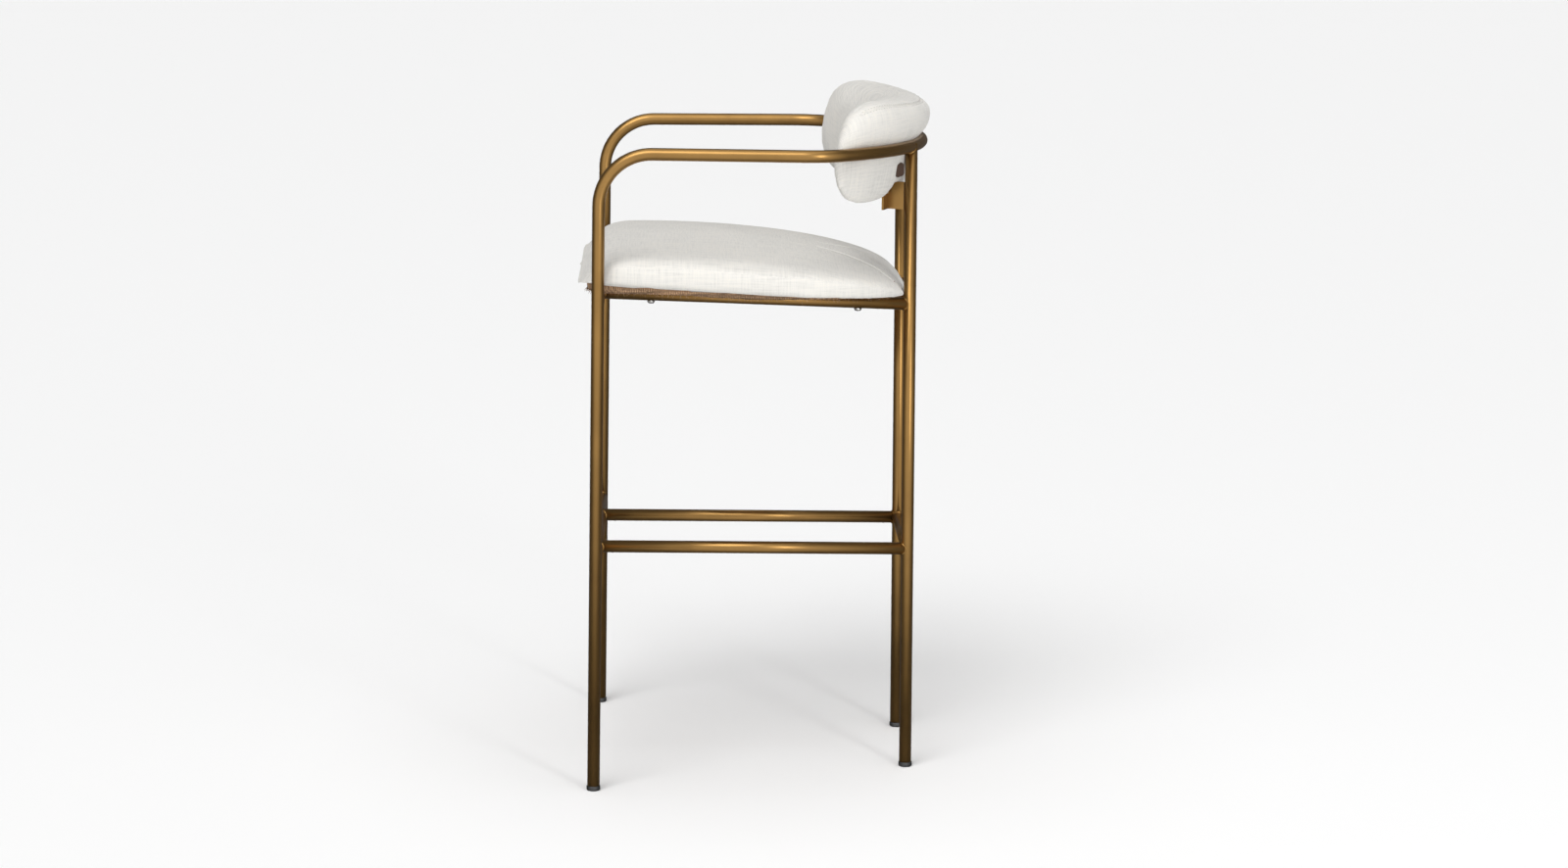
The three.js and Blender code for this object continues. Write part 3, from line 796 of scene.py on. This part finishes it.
def refine_near(piece, path, reach):
    """Split the faces close to a path, so that a narrow groove comes out crisp."""
    tree = path_tree(path)
    bm = bmesh.new()
    bm.from_mesh(piece.data)
    close = [vert for vert in bm.verts if tree.find(vert.co)[2] < reach]
    edges = edges_between(bm.edges, close)
    bmesh.ops.subdivide_edges(bm, edges=edges, cuts=1, smooth=0.6, use_grid_fill=True)
    bmesh.ops.triangulate(bm, faces=[face for face in bm.faces if len(face.verts) > 4])
    bm.to_mesh(piece.data)
    bm.free()


def cut_seam(piece, path, width, depth, start=1.0):
    """Press a narrow groove in along a path; start is its share of the depth at the start."""
    refine_near(piece, path, width * 3)
    refine_near(piece, path, width * 1.8)
    tree = path_tree(path)
    normals = [vert.normal.copy() for vert in piece.data.vertices]
    for vert, normal in zip(piece.data.vertices, normals):
        _, i, distance = tree.find(vert.co)
        if distance < width:
            fade = start + (1 - start) * i / len(path)
            vert.co -= normal * depth * fade * (1 - (distance / width) ** 2) ** 2


def surface_tree(piece):
    bm = bmesh.new()
    bm.from_mesh(piece.data)
    tree = BVHTree.FromBMesh(bm)
    bm.free()
    return tree


def keep_as_pad(piece, *nodes):
    """Finish a pad's cover in linen, in place of some frame nodes."""
    piece.data.materials.clear()
    piece.data.materials.append(finish_of("linen"))
    for polygon in piece.data.polygons:
        polygon.use_smooth = True
    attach(piece, BODY)
    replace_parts(piece, *nodes)


def lay_cloth_uv(piece, place):
    """Give each face corner its place on the cloth, in metres along and across the threads."""
    layer = piece.data.uv_layers.new(name="cloth")
    for polygon in piece.data.polygons:
        for loop in polygon.loop_indices:
            vert = piece.data.vertices[piece.data.loops[loop].vertex_index]
            layer.data[loop].uv = place(vert.co, polygon.normal)


# -------------------------------------------------------------------------------- seat

SEAT_FULL_Y = -0.150
SEAT_CORNER = 0.060
SEAT_TAPER_Y = 0.040
SEAT_REAR_HALF = 0.100
SEAT_SLAB = 0.060
SEAT_CROWN = 0.779
SEAT_WRAP = 0.020
SEAT_GROWTH = 1.014
SEAT_FALL = 0.080
SEAT_CAMBER = 0.016
DART_WIDTH = 0.0048
DART_DEPTH = 0.0042
DART_STEPS = 90
LEG_CLEARANCE = 0.0075


def seat_half_width(y):
    """Half the width of the D-shaped outline at a depth y."""
    front, rear = CUSHION_LOW.y, CUSHION_HIGH.y
    half = CUSHION_HIGH.x
    if not front <= y <= rear:
        return 0.0
    if y < front + SEAT_CORNER:
        share = (front + SEAT_CORNER - y) / SEAT_CORNER
        return half - SEAT_CORNER * (1 - math.sqrt(max(0.0, 1 - share * share)))
    if y > SEAT_TAPER_Y:
        share = (y - SEAT_TAPER_Y) / (rear - SEAT_TAPER_Y)
        return SEAT_REAR_HALF + (half - SEAT_REAR_HALF) * math.sqrt(max(0.0, 1 - share * share))
    return half


def depth_share(y):
    """How far back a depth lies on the seat: 0 at its front, 1 at its rear."""
    return (y - CUSHION_LOW.y) / (CUSHION_HIGH.y - CUSHION_LOW.y)


def seat_floor(y):
    """Height of the cover's lower edge, which follows the tilted board."""
    return CUSHION_LOW.z + 0.0127 * (1 - depth_share(y)) - 0.003


def seat_top(x, y):
    """Height of the crown: full at the front, then falling in an ellipse to the rear."""
    across = SEAT_CAMBER * (x / CUSHION_HIGH.x) ** 2
    if y > SEAT_FULL_Y:
        share = min(1.0, (y - SEAT_FULL_Y) / (CUSHION_HIGH.y + 0.006 - SEAT_FULL_Y))
        return SEAT_CROWN - across - SEAT_FALL * (1 - math.sqrt(1 - share * share))
    return SEAT_CROWN - across - ((SEAT_FULL_Y - y) / 0.0385) ** 4 * 0.001


def in_leg_room(x, y):
    """Whether a place on the seat is in the notch round a leg."""
    radius = sizes().tube_diameter / 2
    legs = ((FRONT_CAP.x, LOOP_LOW.y + radius + 0.003), (REAR_CAP.x, REAR_CAP.y - 0.006))
    room = radius + LEG_CLEARANCE
    return any(math.hypot(abs(x) - leg_x, y - leg_y) < room for leg_x, leg_y in legs)


def seat_slab():
    """A flat slab with the seat's outline and the notches for the legs."""
    cell = sizes().voxel * 0.7
    reach = max(CUSHION_HIGH.x, -CUSHION_LOW.y, CUSHION_HIGH.y) + cell
    count = round(2 * reach / cell)
    bm = bmesh.new()
    bmesh.ops.create_grid(bm, x_segments=count, y_segments=count, size=reach)
    outside = []
    for face in bm.faces:
        x, y, _ = face.calc_center_median()
        if abs(x) > seat_half_width(y) or in_leg_room(x, y):
            outside.append(face)
    bmesh.ops.delete(bm, geom=outside, context="FACES")
    grown = bmesh.ops.extrude_face_region(bm, geom=bm.faces[:])["geom"]
    bmesh.ops.translate(bm, verts=verts_in(grown), vec=(0, 0, SEAT_SLAB))
    bmesh.ops.recalc_face_normals(bm, faces=bm.faces)
    return mesh_object("seat_cushion_cover", bm)


def wrap_drop(x, y):
    """How far the cover hangs down round the board's edge; most at the rear."""
    reach = math.hypot(x, y)
    edge = outline_place(math.atan2(y, x), 0.0).length
    near = min(1.0, max(0.0, 1 - (edge - reach) / SEAT_WRAP))
    return near * (0.001 + 0.015 * max(0.0, depth_share(y)) ** 1.5)


def shape_seat(piece):
    """Move the slab's levels to the real floor and crown, and slant the front."""
    front = CUSHION_LOW.y
    centre = (CUSHION_LOW.y + CUSHION_HIGH.y) / 2
    for vert in piece.data.vertices:
        vert.co.x *= SEAT_GROWTH
        vert.co.y = centre + (vert.co.y - centre) * SEAT_GROWTH
        x, y = vert.co.x, vert.co.y
        level = min(1.0, max(0.0, vert.co.z / SEAT_SLAB))
        near = max(0.0, 1 - (y - front) / 0.07)
        floor = seat_floor(y) - wrap_drop(x, y)
        vert.co.y = y + 0.030 * near * max(0.0, level - 0.15) ** 1.2
        vert.co.z = floor + level * (seat_top(x, vert.co.y) - floor)


def seat_seam_path(side):
    """The dart in the cover's rear, from the crown down beside a rear leg, seen from above."""
    shares = [k / DART_STEPS for k in range(DART_STEPS + 1)]
    return [
        Vector((side * (0.028 + 0.105 * share ** 1.6), 0.100 + 0.118 * share, 0.9))
        for share in shares
    ]


def drop_on(tree, path, direction):
    """Move a path's points onto a surface along a direction."""
    landed = []
    for point in path:
        hit, _, _, _ = tree.ray_cast(point - direction * 0.3, direction)
        if hit:
            landed.append(hit)
    return landed


def seat_cloth_place(co, normal):
    """The seat's cloth runs over the top and straight down its sides."""
    if abs(normal.z) > 0.6:
        return co.x, co.y
    if abs(normal.x) > abs(normal.y):
        return co.z, co.y
    return co.x, co.z


def build_seat_cushion():
    piece = seat_slab()
    remesh(piece, sizes().voxel, 26)
    shape_seat(piece)
    swell(piece)
    subdivide(piece)
    tree = surface_tree(piece)
    for _, side in SIDES:
        path = drop_on(tree, seat_seam_path(side), Vector((0, 0, -1)))
        cut_seam(piece, path, DART_WIDTH, DART_DEPTH, 0.15)
    lay_cloth_uv(piece, seat_cloth_place)
    keep_as_pad(piece, "seat_cushion")


# ---------------------------------------------------------------------------- backrest

SEAM_END_ANGLE = 44
SEAM_STEPS = 260
STITCH_PITCH = 0.0042
STITCH_OFFSET = 0.0027
STITCH_HALF = Vector((0.0014, 0.0005, 0.0004))
PLATE_SIZE = Vector((0.016, 0.020, 0.005))
PLATE_X = 0.138
PLATE_Z = 0.8905
PLATE_LEAN = 12


def back_centre_y():
    return LOOP_HIGH.y - sizes().tube_diameter / 2 - sizes().back_bend


def back_cloth_place(co, _normal):
    """The backrest's cloth runs along the rail and up round the section."""
    rail = sizes().back_bend
    y = co.y - back_centre_y()
    return math.atan2(co.x, y) * rail, co.z + (rail - math.hypot(co.x, y)) * 0.7


def ray_round_back(tree, angle, inward, height, tilt):
    """Where a ray from inside the pad leaves it; tilt is measured up from straight back."""
    reach = sizes().back_bend - inward
    out = Vector((math.sin(angle), math.cos(angle), 0))
    start = Vector((out.x * reach, back_centre_y() + out.y * reach, height))
    direction = out * math.cos(tilt) + Vector((0, 0, 1)) * math.sin(tilt)
    hit, normal, _, _ = tree.ray_cast(start, direction)
    return hit, normal


def back_seam(tree, end_tilt, mid_tilt):
    """One seam over the top of the pad, from end to end."""
    path = []
    end = math.radians(SEAM_END_ANGLE)
    height = LOOP_HIGH.z - sizes().tube_diameter / 2 + 0.005
    for k in range(SEAM_STEPS + 1):
        share = 2 * k / SEAM_STEPS - 1
        tilt = math.radians(end_tilt + (mid_tilt - end_tilt) * (1 - abs(share) ** 2.4))
        inward = 0.046 - 0.022 * share * share
        hit, normal = ray_round_back(tree, share * end, inward, height, tilt)
        if hit:
            path.append((hit, normal))
    return path


def build_backrest_pad():
    piece = joined_copy("backrest_cover", ["backrest_pad", "backrest_shell"])
    remesh(piece, sizes().voxel, 10)
    swell(piece)
    subdivide(piece)
    tree = surface_tree(piece)
    rear = back_seam(tree, 74, 50)
    front = back_seam(tree, 86, 80)
    cut_seam(piece, [hit for hit, _ in rear], 0.0032, 0.0020)
    cut_seam(piece, [hit for hit, _ in front], 0.0030, 0.0012)
    lay_cloth_uv(piece, back_cloth_place)
    keep_as_pad(piece, "backrest_pad", "backrest_shell")
    build_stitches(rear)


def build_stitches(path):
    """Two rows of short thread stitches, one on each side of a seam."""
    bm = bmesh.new()
    last = None
    for (place, normal), (ahead, _) in zip(path, path[1:]):
        if last is not None and (place - last).length < STITCH_PITCH:
            continue
        last = place
        along = (ahead - place).normalized()
        beside = along.cross(normal).normalized()
        for side in (1, -1):
            centre = place + beside * STITCH_OFFSET * side - normal * 0.0002
            matrix = placed(along, beside.cross(along), beside, centre)
            bmesh.ops.create_icosphere(
                bm, subdivisions=1, radius=1, matrix=matrix @ Matrix.Diagonal((*STITCH_HALF, 1)),
            )
    new_piece("backrest_stitching", bm, "linen", finish="thread")


# ------------------------------------------------------------------------- under cloth

EDGE_INSET = 0.0205
HEM_RISE = 0.0135
HEM_POINTS = 360
THREAD_COUNT = 620
THREAD_RADIUS = 0.00035
THREAD_TIP_RADIUS = 0.00018
LINING_DEPTH = 0.0125
LINING_FRONT_Y = -0.105
LINING_REAR_Y = 0.085
LINING_STEPS = 60


def outline_place(angle, inset):
    """A point of the seat's outline at an angle round its middle, moved inwards."""
    out = Vector((math.cos(angle), math.sin(angle), 0))
    near, far = 0.1, 0.4
    for _ in range(24):
        reach = (near + far) / 2
        if abs(out.x * reach) <= seat_half_width(out.y * reach):
            near = reach
        else:
            far = reach
    return out * (near - inset)


def board_floor(y):
    """Height of the board's underside, which is parallel to the side rails."""
    return BOARD_LOW.z + RAIL_SLOPE * (BOARD_HIGH.y - y)


def hem_profile(y):
    """How far the burlap hangs below the board: more at the front and rear than midway."""
    return 0.0012 + 0.0030 * math.cos(math.tau * depth_share(y)) ** 2


def build_dust_cover():
    """Burlap stretched under the board and wrapped up over its edge, with a frayed fold."""
    bm = bmesh.new()
    bmesh.ops.create_circle(bm, cap_ends=True, segments=HEM_POINTS, radius=1)
    for vert in bm.verts:
        angle = math.atan2(vert.co.y, vert.co.x)
        place = outline_place(angle, EDGE_INSET + 0.002)
        place.z = board_floor(place.y) - 0.0016
        vert.co = place
    edges = bm.edges[:]
    for level, outward in ((0.0, -0.002), (0.35, 0.0), (0.7, 0.0006), (1.0, 0.0)):
        grown = bmesh.ops.extrude_edge_only(bm, edges=edges)["geom"]
        edges = edges_in(grown)
        for vert in verts_in(grown):
            angle = math.atan2(vert.co.y, vert.co.x)
            rough = noise.noise(Vector((angle * 24, level * 3, 0.5)))
            fine = noise.noise(Vector((angle * 90, level * 5, 4.5)))
            place = outline_place(angle, EDGE_INSET - outward - 0.0007 * rough - 0.0003 * fine)
            floor = board_floor(place.y) - hem_profile(place.y) * (1 - level)
            place.z = floor + level * HEM_RISE + (0.0012 * rough + 0.0006 * fine) * (1 - level)
            vert.co = place
    piece = new_piece("burlap_cover", bm, "burlap")
    thicken(piece, 0.0007)
    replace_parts(piece, "seat_dust_cover")
    build_frayed_threads()


def build_frayed_threads():
    """Loose threads that stick out along the burlap's lower fold."""
    bm = bmesh.new()
    down = Vector((0, 0, -1))
    for k in range(THREAD_COUNT):
        angle = math.tau * k / THREAD_COUNT + 0.02 * noise.noise(Vector((k * 3.1, 0, 0)))
        root = outline_place(angle, EDGE_INSET - 0.0006)
        root.z = board_floor(root.y) - hem_profile(root.y) + 0.0015
        out = Vector((root.x, root.y, 0)).normalized()
        beside = down.cross(out)
        swing = noise.noise(Vector((k * 1.7, 2.5, 0)))
        length = 0.0025 + 0.0090 * abs(noise.noise(Vector((k * 2.3, 7.5, 0))))
        heading = (out * (0.25 + 0.5 * swing) + beside * 2.2 * swing + down).normalized()
        matrix = Matrix.Translation(root) @ aim(heading) @ Matrix.Translation((0, 0, length / 2))
        made = bmesh.ops.create_cone(
            bm, cap_ends=True, segments=4, radius1=THREAD_RADIUS, radius2=THREAD_TIP_RADIUS,
            depth=length, matrix=matrix,
        )["verts"]
        bend = beside * length * 0.35 * noise.noise(Vector((k * 0.9, 0, 3.5)))
        for vert in made:
            along = (vert.co - root).dot(heading) / length
            vert.co += bend * along * along
    return new_piece("burlap_threads", bm, "burlap")


def build_lining_edge():
    """The pale backing cloth that shows between linen and burlap midway along each side."""
    bm = bmesh.new()
    for _, side in SIDES:
        verts = [bm.verts.new((0, LINING_FRONT_Y, 0)) for _ in range(3)]
        edges = [bm.edges.new(pair) for pair in zip(verts, verts[1:])]
        rows = [verts]
        for _ in range(LINING_STEPS):
            grown = bmesh.ops.extrude_edge_only(bm, edges=edges)["geom"]
            rows.append(verts_in(grown))
            edges = edges_between(edges_in(grown), rows[-1])
        for k, row in enumerate(rows):
            share = k / LINING_STEPS
            y = LINING_FRONT_Y + (LINING_REAR_Y - LINING_FRONT_Y) * share
            fold = 0.0006 * noise.noise(Vector((k * 0.4, side, 0)))
            x = seat_half_width(y) - EDGE_INSET + 0.0022 + fold
            depth = LINING_DEPTH * min(1.0, 4 * min(share, 1 - share) + 0.6)
            for level, vert in enumerate(row):
                vert.co = Vector((x * side, y, seat_floor(y) + 0.0075 - depth * level / 2))
    piece = new_piece("seat_lining_edge", bm, "linen", finish="thread")
    thicken(piece, 0.0006)


def build_slot_plate():
    """A small rounded brown plate let into the back of the pad, beside one rear leg."""
    tree = surface_tree(bpy.data.objects["backrest_cover"])
    angle = math.asin(PLATE_X / sizes().back_bend)
    hit, normal = ray_round_back(tree, angle, 0.045, PLATE_Z, 0.0)
    bm = bmesh.new()
    bmesh.ops.create_cube(bm, size=1)
    bmesh.ops.scale(bm, vec=PLATE_SIZE, verts=bm.verts)
    rounding = {"profile": 0.5, "affect": "EDGES", "material": -1}
    upright = [edge for edge in bm.edges if abs(edge.verts[0].co.z - edge.verts[1].co.z) > 0.001]
    bmesh.ops.bevel(bm, geom=upright, offset=0.0045, segments=5, **rounding)
    rim = edges_between(bm.edges, [vert for vert in bm.verts if vert.co.z > 0.0024])
    bmesh.ops.bevel(bm, geom=rim, offset=0.0008, segments=2, **rounding)
    normal = (normal + Vector((0.6, 0, 0))).normalized()
    beside = Vector((0, 0, 1)).cross(normal).normalized()
    upward = normal.cross(beside)
    lean = math.radians(PLATE_LEAN)
    matrix = placed(
        beside * math.cos(lean) + upward * math.sin(lean),
        upward * math.cos(lean) - beside * math.sin(lean),
        normal,
        hit + normal * 0.0012,
    )
    bmesh.ops.transform(bm, matrix=matrix, verts=bm.verts)
    new_piece("backrest_slot_plate", bm, "black_plastic", finish="webbing")


# ------------------------------------------------------------------------------- stage

class Camera:
    """Where the stool is seen from, in the stool's own frame."""

    place = Vector((5.564, -0.118, 1.469))
    yaw = -0.0222
    pitch = 0.1762
    roll = 0.0117
    lens = 86.9
    shift = 0.0212


def build_camera():
    forward = Vector((-1, 0, 0))
    right = Vector((0, 1, 0))
    up = Vector((0, 0, 1))
    turn = Matrix.Rotation(Camera.yaw, 3, "Z")
    forward, right, up = turn @ forward, turn @ right, turn @ up
    forward, up = (
        forward * math.cos(Camera.pitch) - up * math.sin(Camera.pitch),
        up * math.cos(Camera.pitch) + forward * math.sin(Camera.pitch),
    )
    right, up = (
        right * math.cos(Camera.roll) + up * math.sin(Camera.roll),
        up * math.cos(Camera.roll) - right * math.sin(Camera.roll),
    )
    data = bpy.data.cameras.new("camera")
    data.sensor_width = 36
    data.lens = Camera.lens
    data.shift_x = Camera.shift
    data.clip_end = 200
    camera = add_object("camera", data)
    camera.matrix_world = placed(right, up, -forward, Camera.place)
    bpy.context.scene.camera = camera


def build_floor():
    bm = bmesh.new()
    bmesh.ops.create_grid(bm, x_segments=1, y_segments=1, size=60)
    floor = mesh_object("floor", bm)
    nodes = Nodes("floor_paint")
    nodes.give("Base Color", (0.90, 0.90, 0.90, 1))
    nodes.give("Roughness", 0.9)
    nodes.give("Specular IOR Level", 0.1)
    floor.data.materials.append(nodes.material)
    floor.visible_glossy = False


def add_sun(name, direction, strength, spread):
    data = bpy.data.lights.new(name, "SUN")
    data.energy = strength
    data.angle = math.radians(spread)
    lamp = add_object(name, data)
    lamp.rotation_euler = Vector(direction).to_track_quat("Z", "Y").to_euler()


def add_softbox(name, place, target, width, height, power):
    data = bpy.data.lights.new(name, "AREA")
    data.shape = "RECTANGLE"
    data.size = width
    data.size_y = height
    data.energy = power
    lamp = add_object(name, data)
    lamp.location = place
    lamp.rotation_euler = (Vector(place) - Vector(target)).to_track_quat("Z", "Y").to_euler()


def build_lights():
    world = bpy.data.worlds.new("studio")
    world.use_nodes = True
    tree = world.node_tree
    background = tree.nodes["Background"]
    background.inputs["Strength"].default_value = 1.25
    direction = tree.nodes.new("ShaderNodeTexCoord")
    split = tree.nodes.new("ShaderNodeSeparateXYZ")
    ramp = tree.nodes.new("ShaderNodeValToRGB")
    ramp.color_ramp.elements[0].position = 0.05
    ramp.color_ramp.elements[0].color = (0.10, 0.10, 0.10, 1)
    ramp.color_ramp.elements[1].position = 0.75
    ramp.color_ramp.elements[1].color = (1.0, 1.0, 1.0, 1)
    tree.links.new(direction.outputs["Generated"], split.inputs["Vector"])
    tree.links.new(split.outputs["X"], ramp.inputs["Fac"])
    tree.links.new(ramp.outputs["Color"], background.inputs["Color"])
    bpy.context.scene.world = world
    add_sun("key_light", (0.8, -0.35, 1.0), 1.3, 35)
    add_sun("top_light", (0.0, 0.0, 1.0), 0.95, 60)
    add_softbox("strip_light", (4.5, 2.2, 1.6), (0, 0, 0.6), 0.6, 3.0, 60)
    bpy.context.scene.view_settings.view_transform = "Standard"


# --------------------------------------------------------------------------- operators

class StoolOperator:
    """Runs the functions that make an operator's pieces."""

    bl_options = {"REGISTER", "UNDO"}
    makers = ()

    def execute(self, _context):
        for make in type(self).makers:
            make()
        return {"FINISHED"}


class STOOL_OT_stage(StoolOperator, bpy.types.Operator):
    """Add the floor, the lights and the camera"""

    bl_idname = "stool.stage"
    bl_label = "Add Stage"
    makers = (build_camera, build_floor, build_lights)


class STOOL_OT_arm_loop(StoolOperator, bpy.types.Operator):
    """Bend the tube that makes the front legs, the arms and the back rail"""

    bl_idname = "stool.arm_loop"
    bl_label = "Add Arm Loop"
    makers = (build_arm_loop,)


class STOOL_OT_rear_legs(StoolOperator, bpy.types.Operator):
    """Add the two rear legs"""

    bl_idname = "stool.rear_legs"
    bl_label = "Add Rear Legs"
    makers = (build_rear_legs,)


class STOOL_OT_sub_frames(StoolOperator, bpy.types.Operator):
    """Add the tubes of the footrest and of the seat frame"""

    bl_idname = "stool.sub_frames"
    bl_label = "Add Footrest and Seat Frame"
    makers = (build_footrest, build_seat_frame)


class STOOL_OT_welds(StoolOperator, bpy.types.Operator):
    """Run a weld bead round every joint of the frame"""

    bl_idname = "stool.welds"
    bl_label = "Add Weld Beads"
    makers = (build_weld_beads,)


class STOOL_OT_feet(StoolOperator, bpy.types.Operator):
    """Plug the end caps into the legs"""

    bl_idname = "stool.feet"
    bl_label = "Add End Caps"
    makers = (build_feet,)


class STOOL_OT_seat(StoolOperator, bpy.types.Operator):
    """Make the seat cushion's linen cover and fill it"""

    bl_idname = "stool.seat"
    bl_label = "Add Seat Cushion"
    makers = (build_seat_cushion,)


class STOOL_OT_backrest(StoolOperator, bpy.types.Operator):
    """Make the backrest's linen cover and fill it"""

    bl_idname = "stool.backrest"
    bl_label = "Add Backrest Pad"
    makers = (build_backrest_pad, build_slot_plate)


class STOOL_OT_under_cloth(StoolOperator, bpy.types.Operator):
    """Wrap the burlap and the lining over the board's edge"""

    bl_idname = "stool.under_cloth"
    bl_label = "Add Under Cloth"
    makers = (build_dust_cover, build_lining_edge)


class STOOL_OT_hardware(bpy.types.Operator):
    """Give the boards, brackets, screws and spacers their finishes"""

    bl_idname = "stool.hardware"
    bl_label = "Finish Hardware"
    bl_options = {"REGISTER", "UNDO"}

    def execute(self, _context):
        for entry in frame["record"]["subparts"]:
            refinish(entry["node"], entry["material_slot"])
        return {"FINISHED"}


OPERATORS = (
    STOOL_OT_stage,
    STOOL_OT_arm_loop,
    STOOL_OT_rear_legs,
    STOOL_OT_sub_frames,
    STOOL_OT_welds,
    STOOL_OT_feet,
    STOOL_OT_seat,
    STOOL_OT_backrest,
    STOOL_OT_under_cloth,
    STOOL_OT_hardware,
)


class STOOL_PT_panel(bpy.types.Panel):
    bl_label = "Bar Stool"
    bl_idname = "STOOL_PT_panel"
    bl_space_type = "VIEW_3D"
    bl_region_type = "UI"
    bl_category = "Bar Stool"

    def draw(self, context):
        for group in (context.scene.stool_sizes, context.scene.stool_colours):
            for name in group.__annotations__:
                self.layout.prop(group, name)
        for operator in OPERATORS:
            self.layout.operator(operator.bl_idname)


CLASSES = (StoolSizes, StoolColours, *OPERATORS, STOOL_PT_panel)


def register():
    for cls in CLASSES:
        bpy.utils.register_class(cls)
    bpy.types.Scene.stool_sizes = PointerProperty(type=StoolSizes)
    bpy.types.Scene.stool_colours = PointerProperty(type=StoolColours)


def unregister():
    del bpy.types.Scene.stool_colours
    del bpy.types.Scene.stool_sizes
    for cls in reversed(CLASSES):
        bpy.utils.unregister_class(cls)


def main():
    register()
    for operator in OPERATORS:
        group, name = operator.bl_idname.split(".")
        getattr(getattr(bpy.ops, group), name)()
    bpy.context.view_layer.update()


if __name__ == "__main__":
    main()
